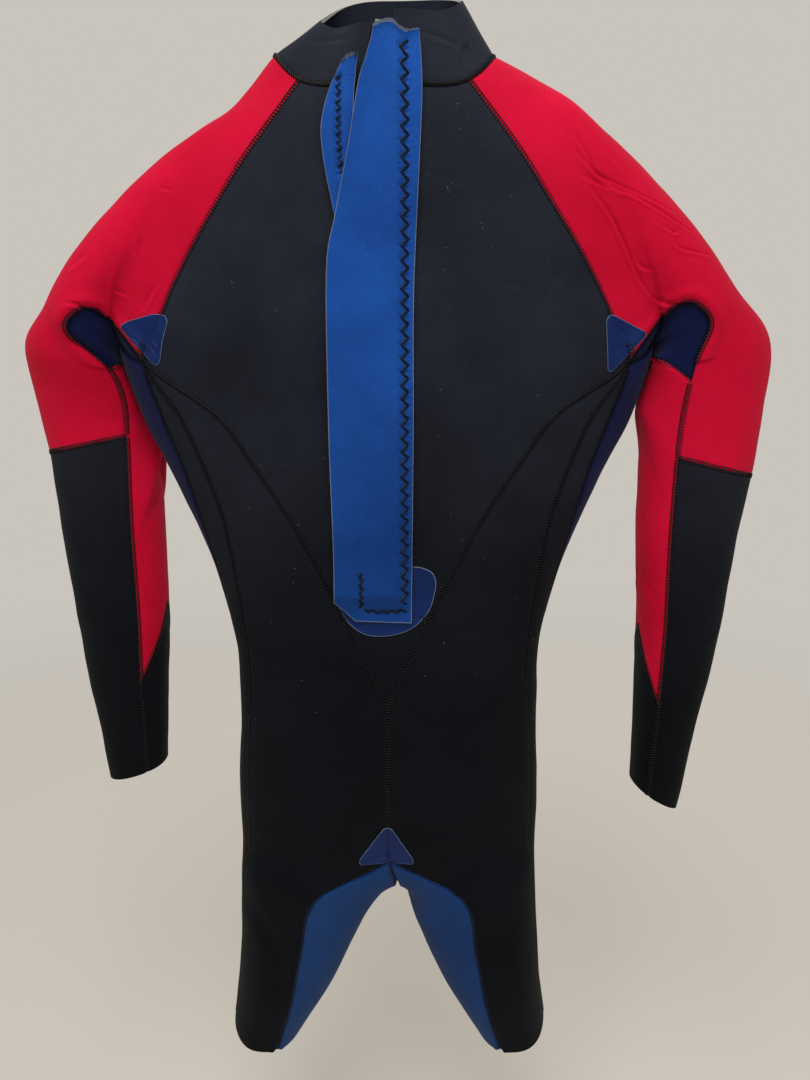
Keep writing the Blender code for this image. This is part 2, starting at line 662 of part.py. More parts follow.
# The zip. Its tapes lie under the panels' edges, and its teeth stand in the opening.
TAPE_Y = (-0.0600, -0.0592)
TEETH_Y = (-0.0645, -0.0590)
TEETH_IN, TEETH_OUT, TAPE_OUT = 0.0010, 0.0032, 0.0170
ZIP_BOX = 0.010  # height of the box that ends the teeth, with its gap
OPENED = [(0.0025, ZIP_TOP), (0.0105, -0.004), (0.0185, -0.045), (0.0135, -0.094)]
OPENED += [(0.0, -0.144), (0.0, ZIP_BASE + ZIP_BOX)]
SLIDER_TOP, SLIDER_LENGTH, SLIDER_HALF = -0.146, 0.014, 0.0065
SLIDER_PLATE = 0.0014
SLIDER_PLAY = 0.0008  # between the slider's plates and the teeth
BRIDGE_HALF, BRIDGE_HOLE, BRIDGE_WIRE = 0.0010, 0.0026, 0.0012
PULL_BAR, PULL_LENGTH = 0.0006, 0.040


def zip_parts(collection):
    cloth, plastic = material("zip_tape", THREAD, 0.9), material("zip_teeth", THREAD, 0.4)
    foot = ZIP_BASE + ZIP_BOX
    for side, sign in (("left", -1), ("right", 1)):
        line = OPENED if side == "left" else [(0.0, ZIP_TOP), (0.0, foot)]
        tape = [(sign * (x + TEETH_OUT + GAP), sign * (x + TAPE_OUT), z) for x, z in line]
        teeth = [(sign * (x + TEETH_IN), sign * (x + TEETH_OUT), z) for x, z in line]
        ribbon(f"zip_tape_{side}", tape, *TAPE_Y, cloth, collection)
        ribbon(f"zip_teeth_{side}", teeth, *TEETH_Y, plastic, collection)
        x = line[0][0]
        low = (sign * (x + TEETH_IN), TEETH_Y[0], ZIP_TOP + GAP)
        high = (sign * (x + TEETH_OUT + 0.0012), TEETH_Y[1], ZIP_TOP + 0.004)
        box(f"zip_stop_{side}", low, high, plastic, collection)
    low = (-0.0042, TEETH_Y[0], ZIP_BASE + 2 * GAP)
    high = (0.0042, TEETH_Y[1], foot - GAP)
    box("zip_bottom_box", low, high, plastic, collection)


def slider(collection):
    """Two plates joined by a post that runs between the rows of teeth, with a bridge inside."""
    metal = material("zip_slider", (0.30, 0.30, 0.31), 0.35, 1.0)
    out_y, in_y = TEETH_Y[0] - SLIDER_PLAY, TEETH_Y[1] + SLIDER_PLAY
    foot, middle = SLIDER_TOP - SLIDER_LENGTH, SLIDER_TOP - SLIDER_LENGTH / 2
    outline = [(-SLIDER_HALF, SLIDER_TOP), (-0.0048, foot), (0.0048, foot), (SLIDER_HALF, SLIDER_TOP)]
    front = plate("zip_slider", outline, out_y, out_y - SLIDER_PLATE, metal, collection)
    deck = in_y + SLIDER_PLATE
    pieces = [plate("slider_back", outline, deck, in_y, metal, collection)]
    low, high = (-0.0007, out_y - 0.0005, middle - 0.003), (0.0007, in_y + 0.0005, middle + 0.004)
    pieces.append(box("slider_post", low, high, metal, collection))
    crown = deck + BRIDGE_HOLE
    reach = BRIDGE_HOLE + BRIDGE_WIRE
    for sign in (-1, 1):
        low = (-BRIDGE_HALF, deck - 0.0005, middle + sign * BRIDGE_HOLE)
        high = (BRIDGE_HALF, crown + BRIDGE_WIRE / 2, middle + sign * reach)
        pieces.append(box(f"slider_leg_{sign}", low, high, metal, collection))
    low = (-BRIDGE_HALF, crown, middle - reach)
    high = (BRIDGE_HALF, crown + BRIDGE_WIRE, middle + reach)
    pieces.append(box("slider_bridge", low, high, metal, collection))
    for piece in pieces:
        combine(front, piece, "UNION")
    return deck + 0.6 * BRIDGE_HOLE, middle


def combine(obj, other, operation):
    """Joins another solid into this one or cuts it out, and removes the other."""
    change = obj.modifiers.new("change", "BOOLEAN")
    change.operation = operation
    change.object = other
    bpy.context.view_layer.update()
    evaluated = obj.evaluated_get(bpy.context.evaluated_depsgraph_get())
    data = bpy.data.meshes.new_from_object(evaluated)
    obj.modifiers.remove(change)
    obj.data = data
    bpy.data.objects.remove(other)


def pull(y, z, collection):
    """The tab that hangs inside the suit by a bar under the slider's bridge."""
    steel = material("pull_tab", (0.30, 0.30, 0.31), 0.35, 1.0)
    top, foot = z + PULL_BAR, z - PULL_LENGTH
    outline = [(-0.0034, top), (-0.0034, z - 0.010), (-0.0048, z - 0.014), (-0.0048, foot + 0.004)]
    outline += [(-0.0020, foot), (0.0020, foot), (0.0048, foot + 0.004), (0.0048, z - 0.014)]
    outline += [(0.0034, z - 0.010), (0.0034, top)]
    tab = plate("pull_tab", outline, y + PULL_BAR, y - PULL_BAR, steel, collection)
    low, high = (-0.0018, y - 0.005, z - 0.0072), (0.0018, y + 0.005, z - PULL_BAR)
    combine(tab, box("pull_window", low, high, steel, collection), "DIFFERENCE")
    set_origin("pull_tab", (0, y, z))


def main():
    for obj in list(bpy.data.objects):
        bpy.data.objects.remove(obj)
    collection = bpy.data.collections.new(NAME)
    bpy.context.scene.collection.children.link(collection)
    skin = Skin(panels())
    sheet_panels(skin, collection)
    patches(skin, collection)
    zip_flaps(collection)
    zip_parts(collection)
    pull(*slider(collection), collection)
    set_origin("zip_slider", (0, TEETH_Y[0], SLIDER_TOP))
    set_origin("zip_underlap_leaf", (FOLD_TOP[0], UNDERLAP_Y - SHEET, FOLD_TOP[1]))
    for side, sign in (("left", -1), ("right", 1)):
        hinge = sleeve_ring_point(side, SLEEVE_JOINT, 0)
        for kind in SLEEVE_PANELS:
            set_origin(f"{kind}_{side}", (sign * hinge.x, hinge.y, hinge.z))


main()
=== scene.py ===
"""The looks of a long-sleeved, short-legged wetsuit that hangs inside out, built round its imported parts.

The suit's skin is lofted through the same rings as the parts, much more finely. Each panel is then
wrinkled, thickened and stitched to its neighbours.
"""

import json
import math
import random
from itertools import product

import bmesh
import bpy
import numpy as np
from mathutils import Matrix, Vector, noise
from mathutils.bvhtree import BVHTree
from mathutils.kdtree import KDTree

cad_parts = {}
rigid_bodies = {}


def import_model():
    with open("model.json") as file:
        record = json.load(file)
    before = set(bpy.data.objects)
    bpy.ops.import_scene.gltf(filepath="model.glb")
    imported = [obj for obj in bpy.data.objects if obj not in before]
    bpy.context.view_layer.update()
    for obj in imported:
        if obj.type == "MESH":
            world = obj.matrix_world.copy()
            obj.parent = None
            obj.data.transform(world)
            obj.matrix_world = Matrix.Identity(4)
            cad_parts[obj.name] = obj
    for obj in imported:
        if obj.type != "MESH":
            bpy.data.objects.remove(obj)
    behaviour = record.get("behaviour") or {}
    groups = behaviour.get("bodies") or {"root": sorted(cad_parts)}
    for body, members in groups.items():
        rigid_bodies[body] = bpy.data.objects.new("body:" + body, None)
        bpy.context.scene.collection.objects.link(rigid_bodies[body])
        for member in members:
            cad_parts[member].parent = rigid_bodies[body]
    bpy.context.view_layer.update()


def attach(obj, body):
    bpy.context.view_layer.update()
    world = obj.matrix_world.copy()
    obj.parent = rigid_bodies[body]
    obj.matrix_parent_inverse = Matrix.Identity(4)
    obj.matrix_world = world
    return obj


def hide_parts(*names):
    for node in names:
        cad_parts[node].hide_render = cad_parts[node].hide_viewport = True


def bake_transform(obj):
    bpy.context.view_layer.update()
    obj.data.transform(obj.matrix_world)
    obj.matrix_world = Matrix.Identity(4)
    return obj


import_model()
random.seed(7)

SHEET = 0.003  # neoprene thickness
GAP = 0.0003  # left between touching pieces
ROUNDNESS = 2.4  # superellipse exponent of the body's rings
SLEEVE_ROUNDNESS = 2.2
ZIP_HALF = 0.0085  # half the width of the opening that the zip fills
ZIP_TOP, ZIP_BASE = 0.040, -0.480
ZIP_DEPTH = 0.065  # the zip runs straight down at this half-depth

# Body rings above the armpit: height at the back, height at the front, half-width, half-depth,
# height added at the side, how sharply it is added, and how far out the raglan seam is.
SHOULDER_ROWS = [
    (-0.004, -0.028, 0.100, ZIP_DEPTH, 0.051, 4, 0.073),
    (-0.045, -0.060, 0.165, ZIP_DEPTH, 0.0, 4, 0.114),
    (-0.094, -0.098, 0.205, ZIP_DEPTH, 0.0, 4, 0.149),
    (-0.146, -0.146, 0.235, ZIP_DEPTH, 0.0, 4, 0.184),
    (-0.196, -0.196, 0.250, ZIP_DEPTH, 0.0, 4, 0.212),
    (-0.240, -0.240, 0.262, ZIP_DEPTH, 0.025, 12, 0.228),
]
ARMPIT = len(SHOULDER_ROWS) - 1
# Body rings below the armpit: height, half-width, half-depth, how far out the V seam and the
# side seam are, and the angles of the navy panel's back and front seams.
TRUNK_ROWS = [
    (-0.285, 0.245, ZIP_DEPTH, 0.160, 0.196, 59, 121),
    (-0.330, 0.225, ZIP_DEPTH, 0.127, 0.177, 60, 120),
    (-0.380, 0.203, ZIP_DEPTH, 0.094, 0.161, 66, 118),
    (-0.430, 0.183, ZIP_DEPTH, 0.067, 0.153, 74, 115),
    (-0.480, 0.169, ZIP_DEPTH, 0.042, 0.147, 84, 112),
    (-0.530, 0.161, 0.069, 0.021, 0.1425, 92, 108),
    (-0.575, 0.160, 0.073, 0.0, 0.143, 97, 104),
    (-0.620, 0.160, 0.076, 0.0, 0.146, 100, 100),
    (-0.670, 0.164, 0.077, 0.0, 0.149, 100, 100),
    (-0.715, 0.165, 0.077, 0.0, 0.150, 100, 100),
    (-0.752, 0.165, 0.077, 0.0, 0.151, 100, 100),
]
ZIP_END = ARMPIT + 5  # the row at the zip's base
APEX = ARMPIT + 7  # the row where the two V seams meet
NAVY_TIP = ARMPIT + 8  # the row where the navy side panel ends
CROTCH = ARMPIT + len(TRUNK_ROWS)  # the row where the body becomes two legs
CHEST_END = ARMPIT + 4
CROTCH_DROP = {CROTCH - 1: 0.060, CROTCH: 0.053}  # sag of the seam between the legs
CLEFT = {CROTCH - 1: 0.005, CROTCH: 0.015}  # how far the body dips in at its middle
CLEFT_HALF = 0.085  # half the width of that dip
# Leg rings: outer edge x and z, inner edge x and z, half-depth, lift of the front and back, and
# the angles from the outer edge of the side seam, of the strip's far seam and of the blue panel.
LEG_ROWS = [
    (0.166, -0.790, 0.014, -0.826, 0.076, 0.020, 26, -10, 96),
    (0.168, -0.848, 0.036, -0.870, 0.079, 0.006, 24, -11, 94),
    (0.173, -0.912, 0.063, -0.926, 0.080, 0.0, 20, -12, 98),
    (0.181, -0.978, 0.098, -0.984, 0.077, 0.0, 12, -14, 108),
]
HEM = CROTCH + len(LEG_ROWS)

# Sleeve rings, from the raglan seam to the cuff: outer edge x and z, underarm edge x and z,
# half-depth, the angle from the outer edge of the seam beside the gusset and under panel, and
# how far forward the ring's middle lies.
SLEEVE_RINGS = {
    "left": [
        (0.145, -0.011, 0.266, -0.213, 0.052, 148, 0.0),
        (0.198, -0.045, 0.270, -0.212, 0.056, 140, 0.0),
        (0.246, -0.085, 0.273, -0.213, 0.059, 125, 0.0),
        (0.290, -0.130, 0.275, -0.218, 0.060, 108, 0.0),
        (0.323, -0.176, 0.272, -0.228, 0.058, 100, 0.004),
        (0.354, -0.214, 0.259, -0.244, 0.053, 142, 0.010),
        (0.357, -0.264, 0.249, -0.272, 0.047, 140, 0.020),
        (0.352, -0.326, 0.244, -0.304, 0.044, 131, 0.026),
        (0.344, -0.408, 0.239, -0.392, 0.042, 122, 0.022),
        (0.334, -0.500, 0.239, -0.487, 0.040, 121, 0.015),
        (0.326, -0.572, 0.243, -0.564, 0.037, 121, 0.010),
        (0.317, -0.627, 0.245, -0.619, 0.033, 121, 0.006),
        (0.310, -0.682, 0.248, -0.666, 0.030, 121, 0.003),
    ],
    "right": [
        (0.147, 0.013, 0.266, -0.213, 0.052, 148, 0.0),
        (0.196, -0.024, 0.270, -0.212, 0.056, 140, 0.0),
        (0.245, -0.067, 0.274, -0.213, 0.059, 125, 0.0),
        (0.292, -0.113, 0.276, -0.217, 0.060, 108, 0.0),
        (0.331, -0.162, 0.275, -0.226, 0.058, 100, 0.0),
        (0.372, -0.212, 0.264, -0.241, 0.053, 118, 0.0),
        (0.374, -0.275, 0.259, -0.280, 0.047, 121, 0.0),
        (0.369, -0.347, 0.258, -0.320, 0.044, 121, 0.0),
        (0.360, -0.422, 0.261, -0.412, 0.042, 121, 0.0),
        (0.350, -0.517, 0.267, -0.508, 0.040, 121, 0.0),
        (0.339, -0.596, 0.269, -0.588, 0.037, 121, 0.0),
        (0.329, -0.662, 0.271, -0.645, 0.033, 121, 0.0),
        (0.321, -0.717, 0.272, -0.690, 0.030, 121, 0.0),
    ],
}
SLEEVE_JOINT = 6  # the ring where the hanging sleeve hinges on the shoulder
COLOUR_CHANGE = 8  # the ring where red becomes black
UNDER_SEAM_END, UNDER_EDGE_END = 11, 10  # where the red under panel ends, at its seam and edge
CUFF = 13

# The collar narrows upwards. Its left end droops at the zip.
COLLAR_TOP = {"left": (0.058, 0.046, 0.042, 0.068), "right": (0.070, 0.046, 0.052, 0.084)}
COLLAR_FRONT_TOP = 0.101
COLLAR_ROWS = 2
# How far the left edge of the zip opening stands off the middle, by row, above the slider.
OPEN_EDGE = {"collar": 0.010, 0: 0.018, 1: 0.026, 2: 0.021}

# Columns between seams, on each half of the body.
COLUMNS = {"upper": 4, "seat": 4, "front": 4, "under": 2}
COLLAR_EDGE_COLUMNS = 1
SLEEVE_COLUMNS = ARMPIT + COLLAR_EDGE_COLUMNS

# Patches and zip.
CROTCH_PATCH = [(-0.004, -0.705), (0.004, -0.705), (0.027, -0.744), (0.027, -0.750)]
CROTCH_PATCH += [(0.0, -0.752), (-0.030, -0.750), (-0.030, -0.744)]
BASE_PATCH = [(0.034, -0.428), (0.046, -0.434), (0.049, -0.446), (0.043, -0.474)]
BASE_PATCH += [(0.024, -0.493), (0.0, -0.499), (-0.022, -0.498), (-0.040, -0.484)]
BASE_PATCH += [(-0.052, -0.460), (-0.040, -0.440), (-0.012, -0.430), (0.012, -0.428)]
TAPE_Y = (-0.0600, -0.0592)
TEETH_Y = (-0.0645, -0.0590)
TEETH_IN, TEETH_OUT, TAPE_OUT = 0.0010, 0.0032, 0.0170
ZIP_BOX = 0.010  # height of the box that ends the teeth, with its gap
OPENED = [(0.0025, ZIP_TOP), (0.0105, -0.004), (0.0185, -0.045), (0.0135, -0.094)]
OPENED += [(0.0, -0.144), (0.0, ZIP_BASE + ZIP_BOX)]
SLIDER_TOP = -0.146  # the teeth are shut below it


def bent(value, exponent):
    """A sine or cosine raised to the superellipse's power, with its sign kept."""
    return math.copysign(abs(value) ** (2 / exponent), value)


def body_angle(x, half_width):
    """The ring angle, from the back's middle, of a point that far out."""
    return math.degrees(math.asin(min(1.0, (x / half_width) ** (ROUNDNESS / 2))))


def trunk_row(row):
    return TRUNK_ROWS[row - ARMPIT - 1]


def ring_point(row, degrees):
    """A point on a body ring, on the +X half: 0 is the back's middle and 180 the front's."""
    a = math.radians(degrees)
    if row <= ARMPIT:
        z_back, z_front, width, depth, lift, power, _ = SHOULDER_ROWS[row]
        share = (1 - math.cos(a)) / 2
        z = z_back + (z_front - z_back) * share + lift * math.sin(a) ** power
    else:
        z, width, depth = trunk_row(row)[:3]
    x = width * bent(math.sin(a), ROUNDNESS)
    depth -= CLEFT.get(row, 0.0) * max(0.0, 1 - x / CLEFT_HALF) ** 2
    return Vector((x, -depth * bent(math.cos(a), ROUNDNESS), z))


def seam_angles(row):
    """The ring angles of the V seam, the side seam, and the navy panel's back and front seams."""
    if row <= ARMPIT:
        out = body_angle(SHOULDER_ROWS[row][6], SHOULDER_ROWS[row][2])
        return out, out, out, 180 - out
    _, width, _, v_out, side_out, navy_back, navy_front = trunk_row(row)
    return body_angle(v_out, width), body_angle(side_out, width), navy_back, navy_front


def leg_point(row, degrees):
    """A point on a leg ring: 0 is the outer edge, 90 the back and 180 the inner edge."""
    x_out, z_out, x_in, z_in, depth, lift = LEG_ROWS[row - CROTCH - 1][:6]
    a = math.radians(degrees)
    across, back = bent(math.cos(a), ROUNDNESS), bent(math.sin(a), ROUNDNESS)
    middle = Vector(((x_out + x_in) / 2, 0, (z_out + z_in) / 2))
    reach = Vector(((x_out - x_in) / 2, 0, (z_out - z_in) / 2))
    return middle + reach * across + Vector((0, -depth * back, lift * abs(back)))


def crotch_point(row, share):
    """A point on the seam between the legs, from back to front."""
    z, _, depth = trunk_row(row)[:3]
    depth -= CLEFT[row]
    turn = math.pi * share
    return Vector((0, -depth * math.cos(turn), z - CROTCH_DROP[row] * math.sin(turn)))


def between(first, last, share):
    return first + (last - first) * share


# Each of these gives a panel's point on the +X half, from its row and its share across. surface()
# gives them all the side too, though only some need it.


def upper_back(row, share, side):
    edge = ZIP_HALF
    if side == "left":
        edge = max(edge, OPEN_EDGE.get(row, 0.0))
    width = SHOULDER_ROWS[row][2] if row <= ARMPIT else trunk_row(row)[1]
    edge *= max(0.0, min(1.0, (APEX - row) / (APEX - ZIP_END)))
    return ring_point(row, between(body_angle(edge, width), seam_angles(row)[0], share))


def gore(row, share, side):
    """The gore under the zip, from the middle to the V seam."""
    split = 1 / (COLUMNS["upper"] + 1)
    if share >= split:
        return upper_back(row, (share - split) / (1 - split), "right")
    return between(ring_point(row, 0), upper_back(row, 0, "right"), share / split)


def seat(row, share, side):
    if row <= CROTCH:
        v_seam, side_seam = seam_angles(row)[:2]
        return ring_point(row, between(v_seam, side_seam, share))
    side_seam, _, blue = LEG_ROWS[row - CROTCH - 1][6:]
    return leg_point(row, between(blue, side_seam, share))


def strip(row, share, side):
    if row <= CROTCH:
        return ring_point(row, between(*seam_angles(row)[1:3], share))
    return leg_point(row, between(*LEG_ROWS[row - CROTCH - 1][6:8], share))


def navy(row, share, side):
    return ring_point(row, between(*seam_angles(row)[2:], share))


def front(row, share, side):
    if row <= CROTCH:
        return ring_point(row, between(seam_angles(row)[3], 180, share))
    _, strip_seam, blue = LEG_ROWS[row - CROTCH - 1][6:]
    return leg_point(row, between(strip_seam, -blue, share))


def inner_leg(row, share, side):
    if row <= CROTCH:
        return crotch_point(row, share)
    blue = LEG_ROWS[row - CROTCH - 1][8]
    return leg_point(row, between(blue, 360 - blue, share))


def sleeve_ring_point(side, ring, degrees):
    x_out, z_out, x_in, z_in, depth, _, forward = SLEEVE_RINGS[side][ring - 1]
    a = math.radians(degrees)
    across, back = bent(math.cos(a), SLEEVE_ROUNDNESS), bent(math.sin(a), SLEEVE_ROUNDNESS)
    middle = Vector(((x_out + x_in) / 2, forward, (z_out + z_in) / 2))
    reach = Vector(((x_out - x_in) / 2, 0, (z_out - z_in) / 2))
    return middle + reach * across + Vector((0, -depth * back, 0))


def under_angle(side, ring):
    return SLEEVE_RINGS[side][ring - 1][5]


def sleeve_under(ring, share, side):
    """The sleeve's underarm part: -1 is its back seam, 0 the inner edge and 1 its front seam."""
    if ring > 0:
        half = 180 - under_angle(side, ring)
        return sleeve_ring_point(side, ring, 180 + share * half)
    corner = seam_angles(ARMPIT)[0]
    return ring_point(ARMPIT, 90 + share * (90 - corner))


def collar(row, share, side):
    """The collar band, from the zip at the back to the front's middle."""
    top_width, top_depth, top_back, top_side = COLLAR_TOP[side]
    width = SHOULDER_ROWS[0][2]
    foot_edge = OPEN_EDGE[0] if side == "left" else ZIP_HALF
    head_edge = OPEN_EDGE["collar"] if side == "left" else ZIP_HALF
    corner = seam_angles(0)[0]
    stops = [body_angle(foot_edge, width), corner, 90, 180 - corner, 180]
    columns = [COLUMNS["upper"], COLLAR_EDGE_COLUMNS, COLLAR_EDGE_COLUMNS, COLUMNS["front"]]
    steps = share * sum(columns)
    part = 0
    while part < 3 and steps > columns[part] + 1e-6:
        steps -= columns[part]
        part += 1
    angle = between(stops[part], stops[part + 1], steps / columns[part])
    foot = ring_point(0, angle)
    a = math.radians(angle)
    if part == 0:
        head_start = body_angle(head_edge, top_width)
        a = math.radians(between(head_start, corner, steps / columns[0]))
    blend = (1 - math.cos(a)) / 2
    z = between(top_back, COLLAR_FRONT_TOP, blend)
    z += (top_side - between(top_back, COLLAR_FRONT_TOP, 0.5)) * math.sin(a) ** 2
    across, back = bent(math.sin(a), ROUNDNESS), bent(math.cos(a), ROUNDNESS)
    head = Vector((top_width * across, -top_depth * back, z))
    if part == 0:
        head.y = between(foot.y, head.y, max(0.0, steps - 1) / (columns[0] - 1))
    return foot.lerp(head, row / COLLAR_ROWS)


def shares(columns):
    return [i / columns for i in range(columns + 1)]


# Fine sampling. Rows and columns that two panels share are cut at the same places.
CELL = 0.0029
SHOULDER_CELL = 0.0015
FINE = {"upper": 14, "seat": 12, "front": 18, "under": 9, "crotch": 14, "strip": 8, "edge": 8, "middle": 5}


def cuts(length, cell=CELL):
    return max(2, round(length / cell))


BODY_STEPS = [cuts(0.055, SHOULDER_CELL)] * ARMPIT + [cuts(0.055)] * (CROTCH - ARMPIT)
BODY_STEPS += [cuts(0.064)] * (HEM - CROTCH)
RING_STEPS = [cuts(0.066, SHOULDER_CELL * 1.2)] * SLEEVE_JOINT + [cuts(0.066)] * (CUFF - SLEEVE_JOINT)
COLLAR_STEPS = cuts(0.045)


def split(counts, start=0):
    """Fractional rows from the start, with each whole interval cut into its count of steps."""
    made = [start + i + k / n for i, n in enumerate(counts) for k in range(n)]
    return np.array(made + [start + len(counts)])


def stretch(counts):
    """Shares from 0 to 1 over intervals of equal share, each cut into its own count."""
    return split(counts) / len(counts)


UPPER = stretch([FINE["upper"]] * COLUMNS["upper"])
SEAT = stretch([FINE["seat"]] * COLUMNS["seat"])
FRONT = stretch([FINE["front"]] * COLUMNS["front"])
STRIP = stretch([FINE["strip"]])
CROTCH_SHARES = stretch([FINE["crotch"]] * 4)
HALF_UNDER = stretch([FINE["under"]] * COLUMNS["under"])
UNDER = np.concatenate([-HALF_UNDER[::-1], HALF_UNDER[1:]])
NAVY_SHARES = stretch([FINE["under"]] * 2 * COLUMNS["under"])
HALF_TOP = stretch([FINE["edge"]] + BODY_STEPS[:ARMPIT])
TOP = np.concatenate([-HALF_TOP[::-1], HALF_TOP[1:]])
GORE = stretch([FINE["middle"]] + [FINE["upper"]] * COLUMNS["upper"])
AROUND = [FINE["upper"]] * COLUMNS["upper"] + [FINE["edge"]] * 2 + [FINE["front"]] * COLUMNS["front"]


def catmull(before, a, b, after, t):
    """The smooth curve through a and b, at share t between them."""
    cube = 3 * (a - b) + after - before
    square = 2 * before - 5 * a + 4 * b - after
    return 0.5 * (2 * a + (b - before) * t + square * t**2 + cube * t**3)


def surface(function, side, rows, across, low, high):
    """A panel's points at fractional rows, smooth between the whole rows low to high."""
    table = [[tuple(function(row, share, side)) for share in across] for row in range(low, high + 1)]
    table = np.array(table)
    table = np.concatenate([[2 * table[0] - table[1]], table, [2 * table[-1] - table[-2]]])
    rows = np.asarray(rows)
    rows = rows if rows.ndim == 2 else np.repeat(rows[:, None], len(across), 1)
    whole = np.clip(np.floor(rows + 1e-9).astype(int), low, high - 1)
    t = (rows - whole)[..., None]
    columns = np.arange(len(across))
    near = [table[whole - low + step, columns] for step in range(4)]
    points = catmull(*near, t)
    points[..., 0] = np.maximum(points[..., 0], 0)
    if side == "left":
        points = points * np.array([-1, 1, 1])
    return points


BACK_CORNER, FRONT_CORNER = 0, 3  # which of seam_angles() the raglan seam follows


def raglan(row, corner):
    """The seam between body and sleeve at a fractional row, on the +X half."""

    def at(whole):
        return ring_point(whole, seam_angles(whole)[corner])

    whole = min(int(math.floor(row + 1e-9)), ARMPIT)
    near = [at(r) if r >= 0 else 2 * at(0) - at(1) for r in range(whole - 1, whole + 3)]
    return catmull(*near, row - whole)


def sleeve_top(ring, share, side):
    """The sleeve's outer part: -1 is its front seam, 0 its outer edge and 1 its back seam."""
    if ring > 0:
        return sleeve_ring_point(side, ring, share * under_angle(side, ring))
    steps = abs(share) * SLEEVE_COLUMNS
    if steps <= COLLAR_EDGE_COLUMNS:
        corner = seam_angles(0)[0]
        angle = between(90, corner, steps / COLLAR_EDGE_COLUMNS)
        return ring_point(0, angle if share >= 0 else 180 - angle)
    row = min(steps - COLLAR_EDGE_COLUMNS, ARMPIT)
    return raglan(row, BACK_CORNER if share >= 0 else FRONT_CORNER)


def rows_between(steps, first, last):
    fine = split(steps)
    return fine[(fine >= first - 1e-9) & (fine <= last + 1e-9)]


def mirrored(function, rows, across, low, high, end):
    """Both halves of a panel that crosses the middle, which is its last or its first column."""
    left, right = (surface(function, side, rows, across, low, high) for side in ("left", "right"))
    if end:
        return np.concatenate([left, right[:, ::-1][:, 1:]], 1)
    return np.concatenate([left[:, ::-1], right[:, 1:]], 1)


NOTCH = {"left": 0.55, "right": 1.3}  # how many rings higher the gusset ends at its middle than at its seams
# How many fine steps below the sleeve's joint the gusset's seams end.
TIP_STEPS = {"left": 0, "right": round(0.42 * RING_STEPS[SLEEVE_JOINT])}


def under_rows(part, side):
    """The fractional rings of the gusset, the red under panel or the wrist panel, column by column."""
    tip = SLEEVE_JOINT + TIP_STEPS[side] / RING_STEPS[SLEEVE_JOINT]
    start = tip - NOTCH[side] * (1 - np.abs(UNDER))
    end = UNDER_EDGE_END + (UNDER_SEAM_END - UNDER_EDGE_END) * np.abs(UNDER)
    if part == "gusset":
        return rows_between(RING_STEPS, 0, tip)[:, None] / tip * start
    if part == "red":
        steps = sum(RING_STEPS[SLEEVE_JOINT:UNDER_SEAM_END]) - TIP_STEPS[side]
        return start + (end - start) * np.linspace(0, 1, steps + 1)[:, None]
    share = np.linspace(0, 1, sum(RING_STEPS[UNDER_SEAM_END:]) + 1)[:, None]
    return end + (CUFF - end) * share


BACK, FRONTWARD, OUTWARD = np.array([0, -1, 0]), np.array([0, 1, 0]), np.array([1, 0, 0])


def build_grids():
    """Every panel's fine points, with the way its middle faces on the +X side."""
    made = {}
    down = rows_between(BODY_STEPS, ARMPIT, HEM)
    for side in ("left", "right"):
        sign = -1 if side == "left" else 1
        out = OUTWARD * sign
        upper = rows_between(BODY_STEPS, 0, ZIP_END)
        made[f"back_upper_{side}"] = surface(upper_back, side, upper, UPPER, 0, CROTCH), BACK
        made[f"back_lower_{side}"] = surface(seat, side, down, SEAT, 0, HEM), BACK
        made[f"side_strip_{side}"] = surface(strip, side, down, STRIP, 0, HEM), out + BACK
        rows = rows_between(BODY_STEPS, ARMPIT, NAVY_TIP)
        made[f"side_panel_{side}"] = surface(navy, side, rows, NAVY_SHARES, 0, CROTCH), out
        rows = rows_between(BODY_STEPS, CHEST_END, HEM)
        made[f"front_lower_{side}"] = surface(front, side, rows, FRONT, 0, HEM), FRONTWARD
        rows = rows_between(BODY_STEPS, CROTCH, HEM)
        grid = surface(inner_leg, side, rows, CROTCH_SHARES, CROTCH - 1, HEM)
        made[f"inner_leg_{side}"] = grid, -out
        rings = rows_between(RING_STEPS, 0, SLEEVE_JOINT)
        made[f"shoulder_{side}"] = surface(sleeve_top, side, rings, TOP, 0, CUFF), out
        rings = rows_between(RING_STEPS, SLEEVE_JOINT, COLOUR_CHANGE)
        made[f"upper_arm_{side}"] = surface(sleeve_top, side, rings, TOP, 0, CUFF), out
        rings = rows_between(RING_STEPS, COLOUR_CHANGE, CUFF)
        made[f"forearm_{side}"] = surface(sleeve_top, side, rings, TOP, 0, CUFF), out
        grid = surface(sleeve_under, side, under_rows("gusset", side), UNDER, 0, CUFF)
        made[f"gusset_{side}"] = grid, np.array([-sign * 0.3, 0, -1])
        grid = surface(sleeve_under, side, under_rows("red", side), UNDER, 0, CUFF)
        made[f"under_sleeve_{side}"] = grid, -out
        grid = surface(sleeve_under, side, under_rows("wrist", side), UNDER, 0, CUFF)
        made[f"wrist_{side}"] = grid, -out
    rows = rows_between(BODY_STEPS, 0, CHEST_END)
    made["front_chest"] = mirrored(front, rows, FRONT, 0, HEM, True), FRONTWARD
    rows = rows_between(BODY_STEPS, ZIP_END, APEX)
    made["zip_gore"] = mirrored(gore, rows, GORE, 0, CROTCH, False), BACK
    rows = split([COLLAR_STEPS] * COLLAR_ROWS)
    made["collar"] = mirrored(collar, rows, stretch(AROUND), 0, COLLAR_ROWS, True), FRONTWARD
    return made


def quad_list(ids):
    """The faces of a grid of point numbers."""
    return np.stack([ids[:-1, :-1], ids[:-1, 1:], ids[1:, 1:], ids[1:, :-1]], -1).reshape(-1, 4)


OUTWARD_TURN = [0, 3, 2, 1]  # the same faces, seen from the other side


def face_normals(points, quads):
    return np.cross(points[quads[:, 2]] - points[quads[:, 0]], points[quads[:, 3]] - points[quads[:, 1]])


